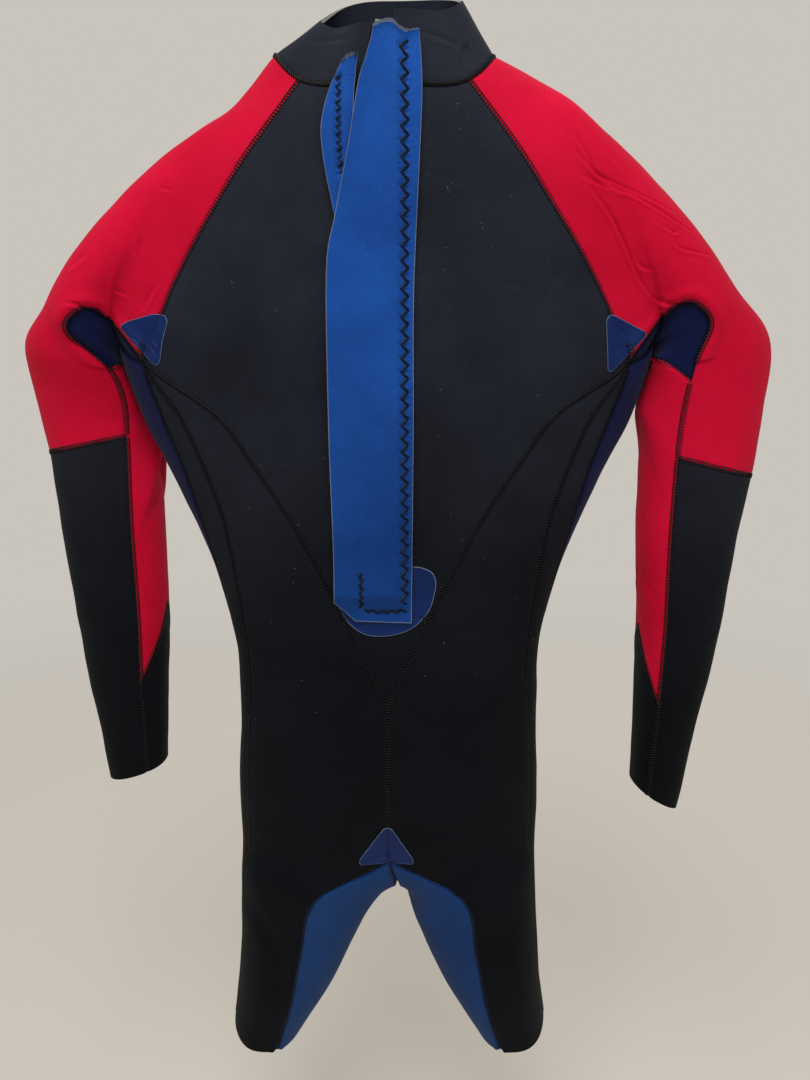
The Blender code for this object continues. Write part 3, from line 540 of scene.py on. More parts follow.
class Skin:
    """The whole fine surface, welded, with each panel's grid of point numbers."""

    def __init__(self, grids):
        every = np.concatenate([g.reshape(-1, 3) for g, _ in grids.values()])
        keys = np.round(every * 1e5).astype(np.int64)
        _, first, number = np.unique(keys, axis=0, return_index=True, return_inverse=True)
        number = number.reshape(-1)
        self.points = every[first]
        self.ids, start = {}, 0
        for name, (grid, facing) in grids.items():
            count = grid.shape[0] * grid.shape[1]
            ids = number[start : start + count].reshape(grid.shape[:2])
            start += count
            self.ids[name] = self.turned(ids, facing)
        self.refresh()

    def turned(self, ids, facing):
        """Reverses a grid's columns if its middle faces inwards."""
        rows, columns = ids.shape
        middle = ids[rows // 3 : 2 * rows // 3 + 1, 2 * columns // 5 : 3 * columns // 5 + 2]
        total = face_normals(self.points, quad_list(middle)).sum(0)
        return ids if total @ facing > 0 else ids[:, ::-1]

    def refresh(self):
        """Works out each point's normal again."""
        total = np.zeros_like(self.points)
        for ids in self.ids.values():
            quads = quad_list(ids)
            normal = face_normals(self.points, quads)
            for corner in range(4):
                np.add.at(total, quads[:, corner], normal)
        self.normals = total / np.maximum(np.linalg.norm(total, axis=1), 1e-12)[:, None]


skin = Skin(build_grids())

# Creases on the suit's back, each with its depth, its half-width, and its line as x and z.
CREASES = [
    (0.0017, 0.0014, [(0.165, -0.049), (0.181, -0.066), (0.200, -0.082),
                      (0.222, -0.092), (0.256, -0.110), (0.279, -0.122)]),
    (0.0014, 0.0014, [(0.163, -0.031), (0.171, -0.044), (0.181, -0.060),
                      (0.189, -0.073), (0.232, -0.093), (0.262, -0.105)]),
    (0.0011, 0.0014, [(0.172, -0.071), (0.184, -0.078), (0.212, -0.090)]),
    (0.0020, 0.0014, [(0.183, -0.084), (0.195, -0.098), (0.206, -0.113),
                      (0.220, -0.138), (0.234, -0.162), (0.248, -0.177)]),
    (0.0012, 0.0014, [(0.226, -0.141), (0.233, -0.150), (0.243, -0.153)]),
    (0.0013, 0.0014, [(0.258, -0.123), (0.262, -0.134), (0.275, -0.138), (0.293, -0.141)]),
    (0.0012, 0.0014, [(0.243, -0.114), (0.258, -0.122), (0.263, -0.119)]),
    (0.0020, 0.0014, [(0.246, -0.176), (0.261, -0.181), (0.281, -0.188)]),
    (0.0009, 0.0014, [(0.195, -0.053), (0.206, -0.064), (0.213, -0.073)]),
    (0.0012, 0.0018, [(-0.220, -0.128), (-0.220, -0.139)]),
    (0.0012, 0.0014, [(-0.249, -0.170), (-0.239, -0.175)]),
    (0.0010, 0.0018, [(-0.211, -0.166), (-0.225, -0.186)]),
    (0.0016, 0.0017, [(-0.291, -0.183), (-0.278, -0.184), (-0.267, -0.193), (-0.256, -0.198)]),
    (0.0014, 0.0016, [(-0.309, -0.186), (-0.304, -0.198), (-0.300, -0.203)]),
    (0.0010, 0.0014, [(-0.201, -0.083), (-0.189, -0.087)]),
    (0.0010, 0.0024, [(-0.286, -0.152), (-0.268, -0.140)]),
    (0.0010, 0.0030, [(0.108, -0.164), (0.127, -0.170)]),
    (0.0012, 0.0032, [(0.148, -0.184), (0.152, -0.167), (0.163, -0.152)]),
    (0.0010, 0.0014, [(0.162, -0.197), (0.152, -0.178)]),
    (0.0014, 0.0070, [(-0.106, -0.165), (-0.123, -0.211), (-0.136, -0.247), (-0.149, -0.267)]),
    (0.0016, 0.0026, [(0.297, -0.431), (0.308, -0.432), (0.320, -0.428)]),
    (0.0014, 0.0026, [(0.314, -0.522), (0.327, -0.513), (0.337, -0.504)]),
    (0.0014, 0.0026, [(0.259, -0.447), (0.265, -0.453), (0.274, -0.448)]),
    (0.0012, 0.0026, [(0.257, -0.463), (0.268, -0.460), (0.275, -0.473)]),
    (0.0016, 0.0028, [(-0.064, 0.039), (-0.046, 0.037), (-0.032, 0.033)]),
    (0.0018, 0.0026, [(0.032, 0.038), (0.052, 0.036), (0.070, 0.032)]),
    (0.0010, 0.0024, [(0.040, -0.414), (0.050, -0.424), (0.057, -0.436)]),
    (0.0010, 0.0022, [(0.043, -0.430), (0.049, -0.441)]),
    (0.0014, 0.0024, [(0.042, -0.498), (0.064, -0.495), (0.082, -0.499), (0.095, -0.496)]),
    (0.0014, 0.0024, [(-0.087, -0.496), (-0.066, -0.493), (-0.040, -0.498)]),
    (0.0022, 0.0030, [(0.024, -0.759), (0.044, -0.765), (0.060, -0.776), (0.073, -0.772)]),
    (0.0016, 0.0024, [(0.050, -0.778), (0.063, -0.780), (0.073, -0.773)]),
    (0.0022, 0.0030, [(0.040, -0.721), (0.046, -0.714), (0.052, -0.711)]),
    (0.0020, 0.0028, [(0.094, -0.747), (0.099, -0.735)]),
    (0.0016, 0.0060, [(0.118, -0.848), (0.133, -0.864)]),
    (0.0018, 0.0090, [(-0.150, -0.800), (-0.120, -0.850), (-0.125, -0.900)]),
]
GROOVE, GROOVE_HALF = 0.0010, 0.0024  # how deep a seam's valley is, and its half-width
LEG_GROOVE, LEG_RIDGE = 0.0015, 0.0010  # the deeper seams of the blue leg panels, with a ridge each side
LEG_GROOVE_HALF, LEG_RIDGE_OUT, LEG_RIDGE_HALF = 0.0028, 0.0052, 0.0026
CROTCH_SHIFT, SHIFT_Z, SHIFT_HIGH, SHIFT_WIDE = 0.010, -0.80, 0.035, 0.06  # the hem's hang to one side
LIP, LIP_OUT, LIP_HALF = 0.0028, 0.007, 0.006  # how the red sleeve bulges over the gusset
GUSSET_SINK, SINK_START, SINK_END = 1.6, 0.008, 0.05  # how the gusset falls back, in lips and metres
# The cloth's gentle waves: height, how many to a metre, and where in the noise they are taken.
WAVES = [(0.0016, 11.0, (0, 0, 0)), (0.0007, 33.0, (5, 1, 2))]


def smooth_line(points, steps=6):
    """A smooth line through points, finely cut."""
    points = np.array(points, float)
    ends = np.concatenate([[2 * points[0] - points[1]], points, [2 * points[-1] - points[-2]]])
    made = [catmull(*ends[i : i + 4], k / steps) for i in range(len(points) - 1) for k in range(steps)]
    return np.array(made + [points[-1]])


def lengths_along(line):
    """How far along a line each of its points is."""
    return np.concatenate([[0], np.cumsum(np.linalg.norm(np.diff(line, axis=0), axis=1))])


def places_at(values, gone, at):
    """The values that go with given distances, from the ones at the distances gone."""
    return np.stack([np.interp(at, gone, values[:, k]) for k in range(values.shape[1])], 1)


def line_distance(places, line):
    """How far places are from a line in a plane, which side of it they're on, and how far along it."""
    best = np.full(len(places), 1e9)
    side, along = np.zeros(len(places)), np.zeros(len(places))
    for k, (a, b) in enumerate(zip(line, line[1:])):
        step = b - a
        t = np.clip((places - a) @ step / (step @ step), 0, 1)
        off = places - a - t[:, None] * step
        far = np.hypot(off[:, 0], off[:, 1])
        near = far < best
        best[near] = far[near]
        side[near] = np.sign(step[0] * off[near, 1] - step[1] * off[near, 0])
        along[near] = (k + t[near]) / (len(line) - 1)
    return best, side, along


def crease(places, rows):
    """How far a sheet moves out at each place: valleys with a soft ridge below them."""
    moved = np.zeros(len(places))
    for depth, width, points in rows:
        line = smooth_line(points)
        low, high = line.min(0) - 5 * width, line.max(0) + 5 * width
        found = np.flatnonzero(((places > low) & (places < high)).all(1))
        if not len(found):
            continue
        far, side, along = line_distance(places[found], line)
        taper = np.sqrt(np.clip(np.sin(np.pi * np.clip(along, 0.02, 0.98)), 0, 1))
        if line[-1][0] < line[0][0]:
            side = -side
        below = -side * far
        ridge = 0.55 * np.exp(-(((below - 2.0 * width) / (1.1 * width)) ** 2))
        moved[found] += depth * taper * (ridge - np.exp(-((far / width) ** 2)))
    return moved


def shared_edges():
    """The edges where two panels are sewn together, each with its panels."""
    owners = {}
    for name, ids in skin.ids.items():
        rim = [i for i, _ in rim_of(ids)]
        for a, b in zip(rim, rim[1:] + rim[:1]):
            if a != b:
                owners.setdefault((min(a, b), max(a, b)), set()).add(name)
    whole = [{f"shoulder_{side}", f"upper_arm_{side}"} for side in ("left", "right")]
    return {edge: names for edge, names in owners.items() if len(names) > 1 and names not in whole}


def rim_of(ids):
    """The point numbers round a grid's edge, in order, and which of its sides each step is on."""
    top = [(i, "top") for i in ids[0, :-1]]
    far = [(i, "far") for i in ids[:-1, -1]]
    foot = [(i, "foot") for i in ids[-1, :0:-1]]
    near = [(i, "near") for i in ids[:0:-1, 0]]
    return top + far + foot + near


def distance_to(numbers):
    """Every point's distance to the nearest of the numbered points."""
    tree = KDTree(len(numbers))
    for k, i in enumerate(numbers):
        tree.insert(skin.points[i], k)
    tree.balance()
    return np.array([tree.find(p)[2] for p in skin.points])


def seam_points(test):
    return sorted({i for edge, names in SHARED.items() if test(names) for i in edge})


REST_GAP = 0.0015  # left between the sleeve's inner edge and the side it rests against
REST_END = {"left": -0.300, "right": -0.262}  # how far down each sleeve rests against the side
REST_FADE = 0.045  # the height over which it comes away


def close_armpits():
    """Lays the sleeves' inner edges against the body's sides below the armpits."""
    original = skin.points.copy()
    for side, sign in (("left", -1), ("right", 1)):
        navy = original[skin.ids[f"side_panel_{side}"][:, len(NAVY_SHARES) // 2]]
        order = np.argsort(navy[:, 2])
        for kind in ("gusset", "under_sleeve"):
            ids = skin.ids[f"{kind}_{side}"]
            middle = original[ids[:, len(UNDER) // 2]]
            body = np.interp(middle[:, 2], navy[order, 2], np.abs(navy[order, 0]))
            shift = np.clip(sign * middle[:, 0] - body - REST_GAP, 0, None)
            shift *= smooth_step((middle[:, 2] - REST_END[side] + REST_FADE) / REST_FADE)
            if kind == "gusset":
                shift *= smooth_step(np.linspace(0, 3, len(ids)))
            reach = 1 - UNDER**2
            moved = original[ids]
            moved[..., 0] -= sign * shift[:, None] * reach[None, :]
            skin.points[ids] = moved


def smooth_step(value):
    value = np.clip(value, 0, 1)
    return value * value * (3 - 2 * value)


def wrinkle():
    """Moves the whole skin in and out: seams, creases, lips at the armpits and gentle waves."""
    points, normals = skin.points, skin.normals
    moved = np.zeros(len(points))
    back = np.flatnonzero(normals[:, 1] < 0.3)
    moved[back] += crease(points[back][:, [0, 2]], CREASES)
    far = distance_to(seam_points(lambda names: True))
    moved -= GROOVE * np.exp(-((far / GROOVE_HALF) ** 2))
    leg = distance_to(seam_points(lambda names: any(n.startswith("inner_leg") for n in names)))
    moved -= LEG_GROOVE * np.exp(-((leg / LEG_GROOVE_HALF) ** 2))
    moved += LEG_RIDGE * np.exp(-(((leg - LEG_RIDGE_OUT) / LEG_RIDGE_HALF) ** 2))
    for side in ("left", "right"):
        lip = {f"shoulder_{side}", f"gusset_{side}"}
        near = distance_to(seam_points(lambda names: lip <= names))
        red = np.unique(skin.ids[f"shoulder_{side}"])
        navy = np.unique(skin.ids[f"gusset_{side}"])
        moved[red] += LIP * np.exp(-(((near[red] - LIP_OUT) / LIP_HALF) ** 2))
        sink = GUSSET_SINK * LIP * (1 - np.exp(-near[navy] / SINK_START))
        moved[navy] -= sink * np.exp(-near[navy] / SINK_END)
    for i, p in enumerate(points):
        moved[i] += sum(high * noise.noise(Vector(p) * rate + Vector(at)) for high, rate, at in WAVES)
    skin.points = points + normals * moved[:, None]
    close_armpits()
    # The hem between the legs hangs a little to one side.
    near = np.exp(-(((points[:, 2] - SHIFT_Z) / SHIFT_HIGH) ** 2) - (points[:, 0] / SHIFT_WIDE) ** 2)
    skin.points[:, 0] += CROTCH_SHIFT * near * (points[:, 2] < SHIFT_Z + 0.10)
    skin.refresh()


SHARED = shared_edges()
wrinkle()


def new_object(name, vertices, faces, mats, indices=None, smooth=True, sharp=()):
    """A mesh object; sharp pairs of vertices keep the shading of the faces either side apart."""
    mesh = bpy.data.meshes.new(name)
    mesh.from_pydata([tuple(v) for v in vertices], [], [tuple(f) for f in faces])
    obj = bpy.data.objects.new(name, mesh)
    bpy.context.scene.collection.objects.link(obj)
    for mat in mats:
        mesh.materials.append(mat)
    if indices is not None:
        mesh.polygons.foreach_set("material_index", np.asarray(indices, np.int32))
    mesh.polygons.foreach_set("use_smooth", np.full(len(mesh.polygons), smooth))
    if len(sharp):
        ends = np.empty(len(mesh.edges) * 2, np.int64)
        mesh.edges.foreach_get("vertices", ends)
        ends = np.sort(ends.reshape(-1, 2), 1)
        pairs = np.sort(np.array(sharp, np.int64), 1)
        total = len(mesh.vertices)
        hard = np.isin(ends[:, 0] * total + ends[:, 1], pairs[:, 0] * total + pairs[:, 1])
        mesh.attributes.new("sharp_edge", "BOOLEAN", "EDGE").data.foreach_set("value", hard)
    mesh.update()
    return obj


def thick_panel(name, mats, free):
    """A closed sheet from a panel's grid. Its free sides show the foam of the cut edge."""
    ids = skin.ids[name]
    quads = quad_list(ids)
    used, local = np.unique(quads, return_inverse=True)
    local = local.reshape(-1, 4)
    count = len(used)
    order = {i: k for k, i in enumerate(used)}
    outer = skin.points[used]
    inner = outer - skin.normals[used] * SHEET
    walls, kinds = [], []
    rim = rim_of(ids)
    for (a, side), (b, _) in zip(rim, rim[1:] + rim[:1]):
        if a != b:
            walls.append((order[b], order[a], order[a] + count, order[b] + count))
            kinds.append(1 if side in free else 0)
    faces = clean(local) + [f[::-1] for f in clean(local + count)] + walls
    indices = [0] * (len(faces) - len(walls)) + kinds
    sharp = [w[:2] for w in walls] + [w[2:] for w in walls]
    return new_object(name, np.concatenate([outer, inner]), faces, mats, indices, sharp=sharp)


def clean(quads):
    """Faces with their repeated corners taken out."""
    made = []
    for q in quads.tolist():
        corners = list(dict.fromkeys(q))
        if len(corners) > 2:
            made.append(corners)
    return made


def simple(name, colour, roughness=0.9, sheen=0.2, shine=0.5):
    mat = bpy.data.materials.new(name)
    mat.use_nodes = True
    shader = mat.node_tree.nodes["Principled BSDF"]
    shader.inputs["Base Color"].default_value = (*colour, 1)
    shader.inputs["Roughness"].default_value = roughness
    shader.inputs["Sheen Weight"].default_value = sheen
    shader.inputs["Specular IOR Level"].default_value = shine
    return mat


def node(mat, kind, place=(0, 0), **values):
    made = mat.node_tree.nodes.new(kind)
    made.location = place
    for name, value in values.items():
        if name in made.inputs:
            made.inputs[name].default_value = value
        else:
            setattr(made, name, value)
    return made


SHADE_TOP, SHADE_FOOT = -0.12, -0.62  # the heights between which painted shade darkens a cloth, standing in for the light from above falling off


def jersey(name, dark, light, sheen=0.25, speckle=0.5, weave=1.0, low=1.0):
    """Knit jersey on foam: fine knit bumps, cloudy tone, small specks of lighter fibre, and, with low under
    1, painted shade that darkens it towards its foot.
    """
    mat = bpy.data.materials.new(name)
    mat.use_nodes = True
    links = mat.node_tree.links.new
    shader = mat.node_tree.nodes["Principled BSDF"]
    shader.inputs["Roughness"].default_value = 0.86
    shader.inputs["Sheen Weight"].default_value = sheen
    shader.inputs["Sheen Roughness"].default_value = 0.5
    shader.inputs["Specular IOR Level"].default_value = 0.07
    where = node(mat, "ShaderNodeTexCoord")
    cloud = node(mat, "ShaderNodeTexNoise", Scale=9.0, Detail=4.0, Roughness=0.6)
    grain = node(mat, "ShaderNodeTexNoise", Scale=620.0, Detail=3.0, Roughness=0.7)
    knit = node(mat, "ShaderNodeTexVoronoi", Scale=900.0)
    for texture in (cloud, grain, knit):
        links(where.outputs["Object"], texture.inputs["Vector"])
    share = node(mat, "ShaderNodeMath", operation="MULTIPLY_ADD")
    share.inputs[1].default_value = speckle
    links(grain.outputs["Fac"], share.inputs[0])
    links(cloud.outputs["Fac"], share.inputs[2])
    ramp = node(mat, "ShaderNodeValToRGB")
    ramp.color_ramp.elements[0].position = 0.40
    ramp.color_ramp.elements[1].position = 0.40 + 0.9 * (0.3 + speckle)
    ramp.color_ramp.elements[0].color = (*dark, 1)
    ramp.color_ramp.elements[1].color = (*light, 1)
    links(share.outputs[0], ramp.inputs["Fac"])
    # Painted shade: with low under 1, the colour is scaled down from the top height to low at the foot
    # height, standing in for the light from above falling off.
    if low < 1:
        height = node(mat, "ShaderNodeSeparateXYZ")
        links(where.outputs["Object"], height.inputs[0])
        painted_shade = node(mat, "ShaderNodeMapRange", interpolation_type="SMOOTHSTEP")
        ends = {"From Min": SHADE_FOOT, "From Max": SHADE_TOP, "To Min": low, "To Max": 1.0}
        for socket, value in ends.items():
            painted_shade.inputs[socket].default_value = value
        links(height.outputs["Z"], painted_shade.inputs["Value"])
        tone = node(mat, "ShaderNodeVectorMath", operation="SCALE")
        links(ramp.outputs["Color"], tone.inputs[0])
        links(painted_shade.outputs["Result"], tone.inputs["Scale"])
        links(tone.outputs["Vector"], shader.inputs["Base Color"])
    else:
        links(ramp.outputs["Color"], shader.inputs["Base Color"])
    bump = node(mat, "ShaderNodeBump", Strength=0.5 * weave, Distance=0.0006)
    links(knit.outputs["Distance"], bump.inputs["Height"])
    dents = node(mat, "ShaderNodeTexNoise", Scale=60.0, Detail=3.0, Roughness=0.55)
    links(where.outputs["Object"], dents.inputs["Vector"])
    soft = node(mat, "ShaderNodeBump", Strength=0.25, Distance=0.0016)
    links(dents.outputs["Fac"], soft.inputs["Height"])
    links(bump.outputs["Normal"], soft.inputs["Normal"])
    links(soft.outputs["Normal"], shader.inputs["Normal"])
    return mat


def film(name, dark, light):
    """Glued plastic film: smooth and glossy, with faint clouds and scuffs."""
    mat = jersey(name, dark, light, 0.05, 0.3, 0.25)
    shader = mat.node_tree.nodes["Principled BSDF"]
    shader.inputs["Roughness"].default_value = 0.45
    shader.inputs["Specular IOR Level"].default_value = 0.12
    return mat


# The black jersey and the flaps' blue jersey take low under 1: painted shade that darkens their lower parts,
# where the light from above falls off.
MATS = {
    "black": jersey("jersey_black", (0.0070, 0.0082, 0.0130), (0.0190, 0.0220, 0.0340), 0.02, low=0.25),
    "red": jersey("jersey_red", (0.44, 0.0016, 0.020), (0.60, 0.0034, 0.036), 0.02),
    "navy": jersey("jersey_navy", (0.0020, 0.0045, 0.030), (0.0050, 0.0100, 0.060), 0.06),
    "blue": jersey("jersey_blue", (0.0045, 0.036, 0.19), (0.0120, 0.084, 0.38), 0.04, low=0.60),
    "leg": jersey("jersey_leg_blue", (0.0050, 0.021, 0.088), (0.0110, 0.046, 0.165), 0.06),
    "foam": jersey("foam_edge", (0.05, 0.05, 0.055), (0.17, 0.17, 0.18), 0.1, 0.8),
    "dark_foam": jersey("foam_edge_dark", (0.005, 0.005, 0.006), (0.018, 0.018, 0.020), 0.05, 0.8),
    "frayed": jersey("frayed_edge", (0.04, 0.055, 0.09), (0.14, 0.17, 0.24), 0.1, 0.8),
    "blue_back": jersey("jersey_blue_back", (0.003, 0.010, 0.050), (0.008, 0.024, 0.100), 0.08),
    "thread": simple("thread", (0.0017, 0.0017, 0.0021), 0.48, 0.0, 0.24),
    "pale_edge": simple("cut_edge", (0.13, 0.18, 0.28), 0.6, 0.0, 0.1),
    "metal": simple("zip_metal", (0.20, 0.20, 0.21), 0.35, 0.0),
    "plastic": simple("zip_plastic", (0.008, 0.008, 0.009), 0.3, 0.0),
    "tape": jersey("zip_tape_cloth", (0.006, 0.006, 0.007), (0.016, 0.016, 0.018), 0.2, 0.4, 2.0),
    "lint": simple("lint_fibre", (0.35, 0.36, 0.40), 0.9, 0.0),
    "film": film("film_blue", (0.0010, 0.009, 0.060), (0.0030, 0.022, 0.130)),
    "base_film": film("film_base", (0.0012, 0.011, 0.070), (0.0030, 0.022, 0.125)),
}
PANEL_COLOURS = {
    "back_upper": "black",
    "back_lower": "black",
    "side_strip": "black",
    "side_panel": "navy",
    "front_lower": "black",
    "inner_leg": "leg",
    "shoulder": "red",
    "upper_arm": "red",
    "forearm": "black",
    "gusset": "navy",
    "under_sleeve": "red",
    "wrist": "black",
    "front_chest": "black",
    "zip_gore": "black",
    "collar": "black",
}


def kind_of(name):
    return name.rsplit("_", 1)[0] if name.endswith(("_left", "_right")) else name


made = {}
for name in skin.ids:
    edge = "foam" if name == "collar" else "dark_foam"
    mats = [MATS[PANEL_COLOURS[kind_of(name)]], MATS[edge]]
    made[name] = thick_panel(name, mats, ("foot",))


def bend_with_sleeve(piece):
    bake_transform(piece)


for name, obj in made.items():
    side = "left" if name.endswith("left") else "right"
    kind = kind_of(name)
    if kind in ("shoulder", "upper_arm", "gusset", "under_sleeve"):
        bend_with_sleeve(obj)
    elif kind in ("forearm", "wrist"):
        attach(obj, f"sleeve_{side}")
    else:
        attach(obj, "suit")
    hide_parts(name)


BACK_TREE = BVHTree.FromPolygons(
    [tuple(p) for p in skin.points], [f for ids in skin.ids.values() for f in clean(quad_list(ids))]
)


def on_back(x, z, lift=0.0):
    """The point on the suit's back at x and z, lifted off the cloth, with the way the cloth faces."""
    place, normal, _, _ = BACK_TREE.ray_cast(Vector((x, -0.4, z)), Vector((0, 1, 0)))
    if place is None:
        place, normal, _, _ = BACK_TREE.find_nearest(Vector((x, -0.08, z)))
    normal = normal if normal.y < 0 else -normal
    return place + normal * lift, normal


# Threads and stitches.
class Threads:
    """Many closed tubes gathered into one piece."""

    def __init__(self):
        self.vertices, self.faces = [], []

    def strand(self, path, radius, sides=4, taper=False):
        """A tube along a path, closed at both ends, with each point's own radius if taper is set."""
        path = np.asarray(path, float)
        steps = np.gradient(path, axis=0)
        steps /= np.maximum(np.linalg.norm(steps, axis=1), 1e-9)[:, None]
        helper = np.array([0.0, 0.0, 1.0]) if abs(steps[0][2]) < 0.8 else np.array([1.0, 0.0, 0.0])
        start, count = len(self.vertices), len(path)
        for k, (place, way) in enumerate(zip(path, steps)):
            one = np.cross(helper, way)
            one /= max(np.linalg.norm(one), 1e-9)
            two = np.cross(way, one)
            helper = two
            size = radius * (1 - 0.8 * k / (count - 1)) if taper else radius
            for s in range(sides):
                angle = 2 * math.pi * (s + 0.5) / sides
                self.vertices.append(place + size * (math.cos(angle) * one + math.sin(angle) * two))
            helper = np.cross(way, one)
        for k in range(count - 1):
            for s in range(sides):
                a, b = start + k * sides + s, start + k * sides + (s + 1) % sides
                self.faces.append((a, b, b + sides, a + sides))
        self.faces.append(tuple(range(start + sides - 1, start - 1, -1)))
        last = start + (count - 1) * sides
        self.faces.append(tuple(range(last, last + sides)))

    def piece(self, name, mat):
        return new_object(name, self.vertices, self.faces, [mat])


# A seam's stitches and the collar's thicker ones: pitch, half-width and the thread's radius.
RUNG = (0.0029, 0.0026, 0.00062)
ROPE = (0.0030, 0.0019, 0.00080)


def joined(edges):
    """Loose edges joined end to end into runs of point numbers."""
    near = {}
    for a, b in edges:
        near.setdefault(a, []).append(b)
        near.setdefault(b, []).append(a)
    left, runs = {tuple(sorted(e)) for e in edges}, []
    starts = sorted(i for i in near if len(near[i]) != 2) + sorted(near)
    for start in starts:
        for first in near[start]:
            if tuple(sorted((start, first))) not in left:
                continue
            left.discard(tuple(sorted((start, first))))
            run = [start, first]
            while len(near[run[-1]]) == 2:
                ahead = [i for i in near[run[-1]] if tuple(sorted((run[-1], i))) in left]
                if not ahead:
                    break
                left.discard(tuple(sorted((run[-1], ahead[0]))))
                run.append(ahead[0])
            runs.append(run)
    return runs


def evenly(numbers, pitch):
    """Points at an even pitch along a run, with their normals and the run's direction."""
    points, normals = skin.points[numbers], skin.normals[numbers]
    gone = lengths_along(points)
    at = np.arange(pitch / 2, gone[-1], pitch)
    place = places_at(points, gone, at)
    normal = places_at(normals, gone, at)
    normal /= np.maximum(np.linalg.norm(normal, axis=1), 1e-9)[:, None]
    way = np.gradient(place, axis=0) if len(at) > 1 else np.repeat([[0.0, 0.0, 1.0]], len(at), 0)
    way /= np.maximum(np.linalg.norm(way, axis=1), 1e-9)[:, None]
    return place, normal, way


def ladder(threads, numbers, rope=False):
    """The flat stitching over a seam: a rung every few millimetres, knotted at both its ends."""
    pitch, half, radius = ROPE if rope else RUNG
    place, normal, way = evenly(numbers, pitch)
    if len(place) < 2:
        return
    across = np.cross(way, normal)
    slant = 0.9 * pitch if rope else 0.15 * pitch
    lift = GROOVE * 0.8
    rails = {-1: [], 1: []}
    for p, n, w, c in zip(place, normal, way, across):
        bulge = radius * (0.9 if rope else 0.35)
        wobble = random.uniform(-0.15, 0.15) * radius
        ends = [p + s * c * half + n * (lift + wobble) + s * w * slant for s in (-1, 1)]
        middle = p + n * (lift + bulge + 0.0001)
        threads.strand([ends[0], (ends[0] + middle) / 2 + n * bulge * 0.4, middle,
                        (ends[1] + middle) / 2 + n * bulge * 0.4, ends[1]], radius, 5 if rope else 4)
        for s, end in zip((-1, 1), ends):
            rails[s].append(end - n * 0.0001)
    if not rope:
        for line in rails.values():
            threads.strand(line, radius * 0.72)


def is_sleeve(names, side):
    kinds = {"shoulder", "upper_arm", "forearm", "gusset", "under_sleeve", "wrist"}
    return any(name.endswith(side) and kind_of(name) in kinds for name in names)


PLAIN_SEAMS = {frozenset(("back_upper_left", "back_upper_right"))}  # the zip's opening
groups = {"body": {}, "left": {}, "right": {}, "rope": {}}
for edge, names in SHARED.items():
    names = frozenset(names)
    if names in PLAIN_SEAMS:
        continue
    if "collar" in names:
        group = "rope"
    elif is_sleeve(names, "left"):
        group = "left"
    elif is_sleeve(names, "right"):
        group = "right"
    else:
        group = "body"
    groups[group].setdefault(names, []).append(edge)
stitching = {}
for group, by_names in groups.items():
    threads = Threads()
    if group == "rope":
        by_names = {"rope": [edge for edges in by_names.values() for edge in edges]}
    for names in sorted(by_names, key=sorted):
        for run in joined(by_names[names]):
            if len(run) > 3:
                ladder(threads, run, group == "rope")
    stitching[group] = threads.piece(f"stitches_{group}", MATS["thread"])
for side in ("left", "right"):
    bend_with_sleeve(stitching[side])
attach(stitching["body"], "suit")
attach(stitching["rope"], "suit")


# The two blue flaps over the zip.
def edge_at(line, heights):
    """A smooth edge's x at each height, from (x, z) points that go down."""
    line = smooth_line(line)
    return np.interp(heights, line[::-1, 1], line[::-1, 0])


def zigzag_path(line, width, pitch):
    """A zigzag that swings either side of a line of (x, z) points."""
    line = smooth_line(line, 24)
    gone = lengths_along(line)
    at = np.arange(0, gone[-1], pitch / 2)
    place = places_at(line, gone, at)
    way = np.gradient(place, axis=0)
    way /= np.linalg.norm(way, axis=1)[:, None]
    across = np.stack([way[:, 1], -way[:, 0]], 1)
    swing = np.where(np.arange(len(at)) % 2, 0.5, -0.5) * width
    return place + across * swing[:, None]


def dents(places, path, depth, width):
    far, _, _ = line_distance(places, path)
    return depth * np.exp(-((far / width) ** 2))


